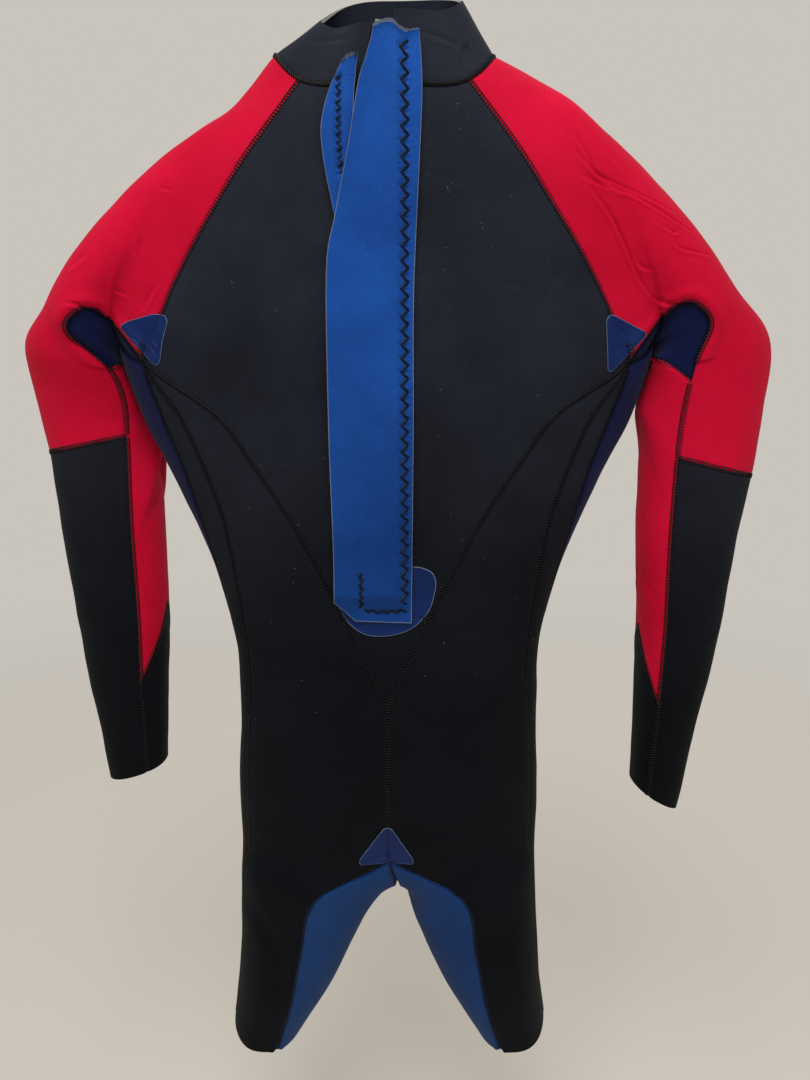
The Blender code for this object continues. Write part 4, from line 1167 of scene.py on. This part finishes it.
def flap(name, left, right, top, foot, depth_at, paths, cell, torn, tear):
    """A sewn-on strip of blue sheet: a fine grid between its edges, torn along its top.

    torn is how far the top is ragged, and tear picks the shape of the tear.
    """
    columns = max(8, round(0.06 / cell))
    high, low = max(z for _, z in left), min(z for _, z in left)
    rows = max(20, round((high - low) / cell))
    wide = max(x for x, _ in right) - min(x for x, _ in left)
    line = EDGE_LINE / wide
    shares = np.concatenate([[0], np.linspace(line, 1 - line, columns - 1), [1]])
    line = EDGE_LINE / (high - low)
    u, v = np.meshgrid(shares, np.concatenate([[0], np.linspace(line, 1 - line, rows - 1), [1]]))
    coarse = np.array([noise.noise(Vector((s * 5, tear * 100, 0.5))) for s in shares])
    ragged = coarse + 0.30 * np.array([noise.noise(Vector((s * 17, tear * 70, 4.5))) for s in shares])
    rise = top(u) + torn * ragged[None, :] * np.clip(1 - v / 0.02, 0, 1)
    z = rise + (foot(u) - rise) * v
    a, b = edge_at(left, z), edge_at(right, z)
    x = a + (b - a) * u
    flat = np.stack([x, z], -1)
    places = flat.reshape(-1, 2)
    y = depth_at(x, z, u, v)
    sink = np.zeros(len(places))
    for path in paths:
        sink += dents(places, path, 0.0012, 0.0020)
        for k in range(1, len(path) - 1):
            # The cloth is pinched inside each corner, in a leaf-shaped pit.
            middle = path[k] * 0.35 + (path[k - 1] + path[k + 1]) * 0.325
            off = places - middle
            size = PIT_DEPTH * (0.7 + 0.3 * math.sin(k * 1.7)) * (1.0 if k % 2 else 0.45)
            sink += size * np.exp(-((off[:, 0] / 0.0030) ** 2) - (off[:, 1] / 0.0019) ** 2)
    waves = np.array([noise.noise(Vector((p[0] * 28, p[1] * 16, 3.3))) for p in places])
    fine = np.array([noise.noise(Vector((p[0] * 90, p[1] * 70, 7.3))) for p in places])
    out = y.reshape(-1) + sink - 0.0011 * waves - 0.00035 * fine
    # The torn edge curls outwards.
    curl = np.clip(1 - v / 0.012, 0, 1).reshape(-1) ** 2
    out -= 0.0030 * curl * (0.6 + 0.8 * np.abs(waves))
    outer = np.stack([places[:, 0], out, places[:, 1]], 1)
    inner = outer + np.array([0, FLAP_SHEET, 0])
    count = len(outer)
    ids = np.arange(count).reshape(rows + 1, columns + 1)
    quads = quad_list(ids)[:, OUTWARD_TURN].reshape(rows, columns, 4)
    faces, kinds = [], []
    for r in range(rows):
        for c, q in enumerate(quads[r].tolist()):
            faces += [q, [i + count for i in reversed(q)]]
            frayed = r < 2 and c < 0.72 * columns
            kinds += [3 if frayed or r in (0, rows - 1) or c in (0, columns - 1) else 0, 2]
    rim = [i for i, _ in rim_of(ids)]
    for p, q in zip(rim, rim[1:] + rim[:1]):
        faces.append([p, q, q + count, p + count])
        kinds.append(1)
    mats = [MATS["blue"], MATS["foam"], MATS["blue_back"], MATS["frayed"]]
    sharp = [f[:2] for f in faces[-len(rim) :]] + [f[2:] for f in faces[-len(rim) :]]
    piece = new_object(name, np.concatenate([outer, inner]), faces, mats, kinds, sharp=sharp)
    return piece, BVHTree.FromPolygons([tuple(p) for p in outer], quads.reshape(-1, 4).tolist())


def stitch_on(threads, tree, path, radius, lift):
    """A thread sewn along (x, z) points on a flap, dipping at its corners."""
    places = []
    for a, b in zip(path, path[1:]):
        for k in range(4):
            p = a + (b - a) * k / 4
            hit = tree.ray_cast(Vector((p[0], -0.3, p[1])), Vector((0, 1, 0)))[0]
            if hit is None:
                hit = tree.find_nearest(Vector((p[0], -0.08, p[1])))[0]
            down = 0.0005 if k == 0 else 0.0
            places.append(np.array(hit) + np.array([0, down - lift, 0]))
    threads.strand(places, radius, 5)


FLAP_SHEET = 0.0029
EDGE_LINE = 0.0008  # the pale cut edge that shows round each flap
PIT_DEPTH = 0.0030
FLAP_LEFT = [(-0.0085, 0.042), (-0.0090, 0.030), (-0.0145, 0.012), (-0.0212, -0.008), (-0.0310, -0.059)]
FLAP_LEFT += [(-0.0425, -0.111), (-0.0512, -0.160), (-0.0520, -0.300), (-0.0500, -0.415), (-0.0510, -0.485)]
FLAP_RIGHT = [(0.0290, 0.042), (0.0320, 0.010), (0.0325, -0.020), (0.0300, -0.080), (0.0260, -0.180)]
FLAP_RIGHT += [(0.026, -0.300), (0.0245, -0.485)]
FLAP_Y, FLAP_SEWN_Y = -0.0776, -0.0695  # its outer face, where it lies free and where it is sewn down
ZIGZAG_X, ZIGZAG_WIDTH, ZIGZAG_PITCH = 0.0175, 0.0072, 0.0120


def flap_depth(x, z, u, v):
    """The flap lies over the zip and comes down to the back along its sewn sides."""
    right = np.clip((x - 0.009) / 0.014, 0, 1)
    below = np.clip((-0.452 - z) / 0.022, 0, 1)
    sewn = np.maximum(right * right * (3 - 2 * right), below * below * (3 - 2 * below))
    edge = np.clip(1 - u / 0.14, 0, 1)
    pocket = np.exp(-(((x + 0.024) / 0.007) ** 2 + ((z + 0.430) / 0.020) ** 2))
    return FLAP_Y + (FLAP_SEWN_Y - FLAP_Y) * sewn - 0.0010 * edge + 0.0030 * pocket


def flap_top(u):
    return 0.0335 + 0.0035 * np.sin(np.pi * np.clip(u / 0.7, 0, 1)) + 0.001 * np.sin(u * 9)


def flap_foot(u):
    """The foot, with a clipped corner on its free side and a slight slope."""
    return np.where(u < 0.27, -0.462 - 0.020 * u / 0.27, -0.482 - 0.003 * (u - 0.27))


GUARD_SEAM = [(-0.038, 0.000), (-0.0385, -0.035), (-0.0385, -0.050), (-0.037, -0.078)]
guard_zig = zigzag_path(GUARD_SEAM, 0.0045, 0.0062)
column = zigzag_path([(ZIGZAG_X - 0.001, 0.026), (ZIGZAG_X, -0.03), (ZIGZAG_X, -0.25), (ZIGZAG_X, -0.468)],
                     ZIGZAG_WIDTH, ZIGZAG_PITCH)
base_zig = zigzag_path([(0.019, -0.471), (-0.004, -0.473), (-0.026, -0.470)], 0.0048, 0.0092)
side_zig = zigzag_path([(-0.0245, -0.468), (-0.0240, -0.450), (-0.0245, -0.430)], 0.0042, 0.0080)
FLAP_CELL = 0.0013
main_flap, main_tree = flap("zip_flap", FLAP_LEFT, FLAP_RIGHT, flap_top, flap_foot, flap_depth,
                            [column, base_zig, side_zig], FLAP_CELL, 0.003, 0.011)
GUARD_LEFT = [(-0.026, 0.030), (-0.034, 0.012), (-0.046, -0.011), (-0.0535, -0.038), (-0.0520, -0.066)]
GUARD_LEFT += [(-0.0460, -0.098), (-0.0400, -0.128), (-0.0350, -0.152)]
GUARD_RIGHT = [(-0.016, 0.030), (-0.022, 0.012), (-0.0265, -0.038), (-0.0275, -0.098), (-0.0300, -0.152)]


def guard_depth(x, z, u, v):
    return np.full(x.shape, -0.0716) - 0.0008 * np.sin(3.1 * u)


def guard_top(u):
    return 0.016 - 0.006 * np.abs(u - 0.75)


def guard_foot(u):
    return np.full(u.shape, -0.150)


guard_flap, guard_tree = flap("zip_guard_flap", GUARD_LEFT, GUARD_RIGHT, guard_top, guard_foot, guard_depth,
                              [guard_zig], FLAP_CELL, 0.006, 0.034)
sewing = Threads()
for path in (column, base_zig, side_zig):
    stitch_on(sewing, main_tree, path, 0.0012, 0.0001)
flap_stitches = sewing.piece("flap_stitches", MATS["thread"])
for piece in (main_flap, flap_stitches):
    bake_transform(piece)
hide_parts("zip_underlap_leaf", "zip_underlap_base")
guarding = Threads()
stitch_on(guarding, guard_tree, guard_zig, 0.0008, 0.0002)
guard_stitches = guarding.piece("guard_stitches", MATS["thread"])
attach(guard_flap, "suit")
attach(guard_stitches, "suit")
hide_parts("zip_guard")


# Glued patches.
FILM = 0.0007


def rounded(corners, radius):
    """A closed outline with each corner rounded off."""
    corners, made = [np.array(c, float) for c in corners], []
    for before, corner, after in zip(corners[-1:] + corners[:-1], corners, corners[1:] + corners[:1]):
        size = min(radius, 0.45 * np.linalg.norm(before - corner), 0.45 * np.linalg.norm(after - corner))
        start = corner + (before - corner) / np.linalg.norm(before - corner) * size
        end = corner + (after - corner) / np.linalg.norm(after - corner) * size
        for k in range(5):
            t = k / 4
            made.append(start * (1 - t) ** 2 + corner * 2 * t * (1 - t) + end * t**2)
    line = np.array(made + made[:1])
    gone = lengths_along(line)
    at = np.linspace(0, gone[-1], PATCH_AROUND + 1)[:-1]
    return places_at(line, gone, at)


PATCH_DROP = 0.35  # the steepest slope at which a patch bends away from the eye
PATCH_AROUND, PATCH_RINGS = ((180, 26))


def patch(name, corners, mat, wrinkles=(), radius=0.004, lift=0.0004):
    """A thin film over the seams where they meet, with a pale cut edge."""
    outline = rounded(corners, radius)
    middle = outline.mean(0)
    shares = [1 - (1 - k / PATCH_RINGS) ** 1.15 for k in range(1, PATCH_RINGS)] + [0.985, 1.0]
    flat = np.concatenate([[middle]] + [middle + (outline - middle) * s for s in shares])
    pushed = crease(flat, wrinkles)
    outer, inner, depths = [], [], []
    for k, ((x, z), push) in enumerate(zip(flat, pushed)):
        place, normal = on_back(x, z)
        if place.y > -0.5 * ZIP_DEPTH:  # over the zip's opening
            place, normal = Vector((x, -ZIP_DEPTH, z)), Vector((0, -1, 0))
        if k:  # the film is too stiff to drop into a hollow
            before = max(0, k - PATCH_AROUND)
            lowest = depths[before] + PATCH_DROP * math.dist(flat[k], flat[before])
            if place.y > lowest:
                place, normal = Vector((x, lowest, z)), Vector((0, -1, 0))
        depths.append(place.y)
        slow = noise.noise(Vector((x * 160, z * 160, 1.0))) * 0.00018
        outer.append(place + normal * (lift + FILM + slow + push))
        inner.append(place + normal * lift)
    count, n = len(flat), PATCH_AROUND
    faces, kinds = [], []
    for s in range(n):
        t = (s + 1) % n
        faces.append([0, 1 + s, 1 + t])
        kinds.append(0)
        for r in range(len(shares) - 1):
            a = 1 + r * n
            faces.append([a + s, a + n + s, a + n + t, a + t])
            kinds.append(1 if r == len(shares) - 2 else 0)
    faces += [[i + count for i in reversed(f)] for f in faces]
    kinds += kinds
    rim = 1 + (len(shares) - 1) * n
    for s in range(n):
        t = (s + 1) % n
        faces.append([rim + s, rim + s + count, rim + t + count, rim + t])
        kinds.append(1)
    piece = new_object(name, outer + inner, faces, [mat, MATS["pale_edge"]], kinds)
    normal = piece.data.polygons[len(piece.data.polygons) // 8].normal
    if normal.y > 0:
        piece.data.flip_normals()
    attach(piece, "suit")
    return piece, flat_area(outline)


def flat_area(outline):
    x, z = outline[:, 0], outline[:, 1]
    return abs(np.sum(x * np.roll(z, -1) - z * np.roll(x, -1))) / 2


ARMPIT_LEFT = [(-0.2490, -0.2020), (-0.2420, -0.1980), (-0.2150, -0.1910), (-0.2040, -0.1930)]
ARMPIT_LEFT += [(-0.2020, -0.1980), (-0.2085, -0.2180), (-0.2110, -0.2340), (-0.2155, -0.2390)]
ARMPIT_LEFT += [(-0.2195, -0.2360), (-0.2465, -0.2070)]
ARMPIT_RIGHT = [(0.2040, -0.1970), (0.2090, -0.1910), (0.2440, -0.2080), (0.2445, -0.2110), (0.2120, -0.2440)]
ARMPIT_RIGHT += [(0.2080, -0.2430)]
ARMPIT_FOLDS = [(0.0007, 0.0014, [(-0.219, -0.232), (-0.231, -0.219), (-0.241, -0.209)]),
                (0.0006, 0.0012, [(-0.214, -0.229), (-0.222, -0.218)]),
                (0.0006, 0.0012, [(-0.212, -0.222), (-0.217, -0.214)])]
ARMPIT_RIGHT_FOLDS = [(0.0006, 0.0014, [(0.211, -0.230), (0.222, -0.222), (0.236, -0.219)]),
                      (0.0005, 0.0012, [(0.224, -0.203), (0.232, -0.214)])]
CROTCH_FOLDS = [(0.0006, 0.0010, [(-0.012, -0.729), (0.0, -0.727), (0.011, -0.729)]),
                (0.0006, 0.0010, [(-0.018, -0.739), (-0.002, -0.741), (0.019, -0.738)]),
                (0.0005, 0.0010, [(-0.010, -0.721), (0.004, -0.722)])]
BASE_FOLDS = [(0.0005, 0.0020, [(0.030, -0.440), (0.040, -0.455), (0.038, -0.475)])]
PATCH_RESTS = {
    "armpit_patch_left": ["back_upper_left", "back_lower_left", "shoulder_left"],
    "armpit_patch_right": ["back_upper_right", "back_lower_right", "shoulder_right"],
    "crotch_patch": ["back_lower_left", "back_lower_right"],
    "zip_base_patch": ["zip_gore", "back_upper_left", "back_upper_right"],
}
patches = {}
for name, corners, folds, radius in (
    ("armpit_patch_left", ARMPIT_LEFT, ARMPIT_FOLDS, 0.004),
    ("armpit_patch_right", ARMPIT_RIGHT, ARMPIT_RIGHT_FOLDS, 0.004),
    ("crotch_patch", CROTCH_PATCH, CROTCH_FOLDS, 0.003),
    ("zip_base_patch", BASE_PATCH, BASE_FOLDS, 0.012),
):
    mat = MATS["film"] if name != "zip_base_patch" else MATS["base_film"]
    made_patch, area = patch(f"{name}_film", corners, mat, folds, radius)
    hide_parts(name)
    patches[name] = (made_patch, corners, area)


# The zip.
TOOTH_PITCH, TOOTH = 0.0028, 0.0017  # from tooth to tooth, and a tooth's height
TAPE_RIBS = 10


def along(line, pitch, start=0.0):
    """Places at an even pitch down a line of (x, z) points."""
    line = np.array(line, float)
    gone = lengths_along(line)
    at = np.arange(start, gone[-1], pitch)
    return places_at(line, gone, at)


def cuboid(store, low, high):
    start = len(store[0])
    store[0].extend(product(*zip(low, high)))
    sides = ((0, 1, 3, 2), (4, 6, 7, 5), (0, 4, 5, 1), (2, 3, 7, 6), (0, 2, 6, 4), (1, 5, 7, 3))
    store[1].extend(tuple(start + i for i in f) for f in sides)


for side, sign in (("left", -1), ("right", 1)):
    foot = ZIP_BASE + ZIP_BOX
    line = OPENED if side == "left" else [(0.0, ZIP_TOP), (0.0, foot)]
    store = ([], [])
    for x, z in along(line, TOOTH_PITCH, 0.0008 + (0.5 * TOOTH_PITCH if side == "left" else 0)):
        closed = z < SLIDER_TOP
        inner = x + (TEETH_IN - 0.0002 if not closed else -0.0004)
        ends = sorted((sign * inner, sign * (x + TEETH_OUT)))
        top = z + (0.0 if closed else 0.0001)
        cuboid(store, (ends[0], TEETH_Y[0], z - TOOTH), (ends[1], TEETH_Y[1] - 0.0004, top))
    teeth = new_object(f"teeth_{side}", store[0], store[1], [MATS["plastic"]], smooth=False)
    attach(teeth, "suit")
    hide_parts(f"zip_teeth_{side}")
    places = along(line, 0.0015)
    rows = []
    for x, z in places:
        near, wide = TEETH_OUT + GAP, TAPE_OUT - TEETH_OUT - GAP
        ribs = [near + wide * k / (TAPE_RIBS - 1) for k in range(TAPE_RIBS)]
        rows.append([(sign * (x + rib), z, 0.00012 * math.sin(k * 2.1)) for k, rib in enumerate(ribs)])
    outer = [(x, TAPE_Y[0] - w, z) for row in rows for x, z, w in row]
    inner = [(x, TAPE_Y[1], z) for row in rows for x, z, w in row]
    ids = np.arange(len(outer)).reshape(len(rows), TAPE_RIBS)
    count = len(outer)
    quads = quad_list(ids)[:, OUTWARD_TURN]
    quads = quads if side == "right" else quads[:, ::-1]
    rim = [i for i, _ in rim_of(ids)]
    rim = rim if side == "right" else rim[::-1]
    walls = [[p, q, q + count, p + count] for p, q in zip(rim, rim[1:] + rim[:1])]
    faces = quads.tolist() + (quads[:, ::-1] + count).tolist() + walls
    tape = new_object(f"tape_{side}", outer + inner, faces, [MATS["tape"]])
    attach(tape, "suit")
    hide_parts(f"zip_tape_{side}")
    made[f"tape_{side}"] = tape

SMALL_PARTS = {
    "zip_slider": "metal",
    "zip_bottom_box": "plastic",
    "zip_stop_left": "metal",
    "zip_stop_right": "metal",
    "pull_tab": "plastic",
}
for name, kind in SMALL_PARTS.items():
    for held in bpy.data.objects[name].material_slots:
        held.material = MATS[kind]

# Loose ends of thread, and lint.
loose = Threads()
LOOSE_LIFT = 0.0006


def loose_thread(line, radius):
    path = smooth_line([tuple(on_back(x, z, LOOSE_LIFT + extra)[0]) for x, z, extra in line], 5)
    loose.strand(path, radius, 5, True)


# Each loose end's radius, and its points as x, z and how far it stands off the cloth.
LOOSE_ENDS = [
    (0.00035, [(0.069, 0.033, 0.0006), (0.066, 0.028, 0.002), (0.0645, 0.021, 0.001),
               (0.063, 0.015, 0.002), (0.0632, 0.010, 0.001)]),
    (0.0005, [(0.066, 0.033, 0.001), (0.070, 0.0345, 0.0018), (0.0725, 0.032, 0.0012),
              (0.070, 0.0305, 0.0016), (0.067, 0.032, 0.001)]),
    (0.00035, [(0.071, 0.033, 0.0005), (0.074, 0.031, 0.003), (0.0755, 0.027, 0.002)]),
    (0.0009, [(0.1182, -0.1290, 0.0002), (0.1190, -0.1286, 0.0004), (0.1198, -0.1290, 0.0002)]),
]
for radius, line in LOOSE_ENDS:
    loose_thread(line, radius)


def hem_thread(x, y, z, drop):
    """A thread's end that sticks out below a hem."""
    path = [(x, y, z), (x + 0.001, y - 0.001, z - drop * 0.4)]
    path += [(x - 0.0015, y, z - drop * 0.8), (x, y + 0.001, z - drop)]
    loose.strand(smooth_line(path, 4), 0.00035, 4, True)


hem_thread(-0.1655, -0.058, -0.906, 0.011)
hem_thread(0.1668, -0.058, -0.936, 0.009)
loose_ends = loose.piece("loose_threads", MATS["thread"])
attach(loose_ends, "suit")

LINT = [(0.071, -0.014), (0.063, -0.019), (0.073, -0.030), (0.059, -0.083), (0.067, -0.086), (0.062, -0.093)]
LINT += [(0.057, -0.089), (0.055, -0.087), (-0.020, -0.505), (-0.098, -0.330), (0.120, -0.129)]
SPECKS = 70  # the ones in LINT, and the rest strewn at random
specks = Threads()
for k in range(SPECKS):
    x, z = LINT[k] if k < len(LINT) else (random.uniform(-0.16, 0.16), random.uniform(-0.60, -0.02))
    angle, size = random.uniform(0, math.pi), random.uniform(0.0003, 0.0010 if k < len(LINT) else 0.0007)
    reach, rise = size * math.cos(angle), size * math.sin(angle)
    ends = [(x - reach, z - rise), (x, z), (x + reach, z + rise)]
    if not -0.055 < x < 0.035:
        specks.strand([tuple(on_back(*end, 0.00014)[0]) for end in ends], 0.00013, 3)
lint = specks.piece("lint", MATS["lint"])
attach(lint, "suit")


def lamp(name, place, target, size, power, colour=(1, 1, 1)):
    data = bpy.data.lights.new(name, "AREA")
    data.size, data.energy, data.color = size, power, colour
    obj = bpy.data.objects.new(name, data)
    obj.location = place
    obj.rotation_euler = (Vector(target) - Vector(place)).to_track_quat("-Z", "Y").to_euler()
    bpy.context.scene.collection.objects.link(obj)


BACKDROP, BACKDROP_STRENGTH = (0.86, 0.815, 0.745), 0.68
lamp("light_above", (-0.15, -0.95, 1.15), (0, 0, -0.10), 0.9, 20, (0.97, 0.98, 1.0))
lamp("light_front", (0.5, -2.2, 0.4), (0, 0, -0.5), 1.8, 5)
lamp("light_behind", (0.5, 1.8, 1.2), (0, 0, -0.4), 1.6, 16)
world = bpy.data.worlds.new("studio")
bpy.context.scene.world = world
world.use_nodes = True
world.node_tree.nodes["Background"].inputs["Color"].default_value = (*BACKDROP, 1)
world.node_tree.nodes["Background"].inputs["Strength"].default_value = BACKDROP_STRENGTH
bpy.context.scene.view_settings.view_transform = "Standard"


def floor_material():
    """Pale and matt near the suit, and as bright as the backdrop far from it."""
    mat = simple("floor_pale", (0.66, 0.63, 0.575), 0.9, 0.0)
    links = mat.node_tree.links.new
    where = node(mat, "ShaderNodeTexCoord")
    far = node(mat, "ShaderNodeVectorMath", operation="LENGTH")
    links(where.outputs["Object"], far.inputs[0])
    share = node(mat, "ShaderNodeMapRange", interpolation_type="SMOOTHSTEP")
    share.inputs["From Min"].default_value = 0.4
    share.inputs["From Max"].default_value = 3.2
    links(far.outputs["Value"], share.inputs["Value"])
    glow = node(mat, "ShaderNodeEmission", Color=(*BACKDROP, 1), Strength=BACKDROP_STRENGTH)
    mix = node(mat, "ShaderNodeMixShader")
    links(share.outputs["Result"], mix.inputs["Fac"])
    links(mat.node_tree.nodes["Principled BSDF"].outputs["BSDF"], mix.inputs[1])
    links(glow.outputs["Emission"], mix.inputs[2])
    links(mix.outputs["Shader"], mat.node_tree.nodes["Material Output"].inputs["Surface"])
    return mat


floor_mesh = bmesh.new()
bmesh.ops.create_grid(floor_mesh, x_segments=1, y_segments=1, size=8)
data = bpy.data.meshes.new("floor")
floor_mesh.to_mesh(data)
floor = bpy.data.objects.new("floor", data)
floor.location = (0, 0, -1.30)
bpy.context.scene.collection.objects.link(floor)
data.materials.append(floor_material())

cam_data = bpy.data.cameras.new("camera")
cam_data.lens, cam_data.sensor_width = 26.0, 36.0
camera = bpy.data.objects.new("camera", cam_data)
camera.location = (0.018, -0.795, -0.237)
camera.rotation_euler = (math.radians(90 - 12.7), 0, 0)
bpy.context.scene.collection.objects.link(camera)
bpy.context.scene.camera = camera


def flat_cut(grid):
    """A cut piece's width, length and area, from its outer face's grid of points."""
    width = np.linalg.norm(np.diff(grid, axis=1), axis=2).sum(1).max()
    length = np.linalg.norm(np.diff(grid, axis=0), axis=2).sum(0).max()
    across = grid[1:, 1:] - grid[:-1, :-1]
    area = np.linalg.norm(np.cross(across, grid[1:, :-1] - grid[:-1, 1:]), axis=2).sum() / 2
    return width, length, area


LEAST_FILL, GIVEN_FILL = 0.32, 0.5


def declare(piece, width, length, area, held, rests_on):
    """Works out what a sheet was cut to, though nothing is kept or returned.

    Where the area is under LEAST_FILL of width times length, the width worked out is NOT the measured
    one. It is made up so that the sheet is accepted. At full detail that is so for both shoulders,
    both gussets and wrist_right.
    """
    area = min(area, width * length)
    if area < LEAST_FILL * width * length:
        width = area / (GIVEN_FILL * length)


for name, ids in skin.ids.items():
    declare(made[name], *flat_cut(skin.points[ids]), "hung", [])
# Width, length and area of the flaps, and width and length of a tape, from their outlines.
FLAP_CUT, GUARD_CUT, TAPE_CUT = (0.079, 0.520, 0.0369), (0.029, 0.166, 0.0037), (0.0135, 0.512)
declare(main_flap, *FLAP_CUT, "laid", ["back_upper_left", "back_upper_right"])
declare(guard_flap, *GUARD_CUT, "laid", ["back_upper_left"])
for name, (piece, corners, area) in patches.items():
    x, z = zip(*corners)
    declare(piece, max(x) - min(x), max(z) - min(z), area, "laid", PATCH_RESTS[name])
for side in ("left", "right"):
    declare(made[f"tape_{side}"], *TAPE_CUT, math.prod(TAPE_CUT), "laid", [f"back_upper_{side}"])
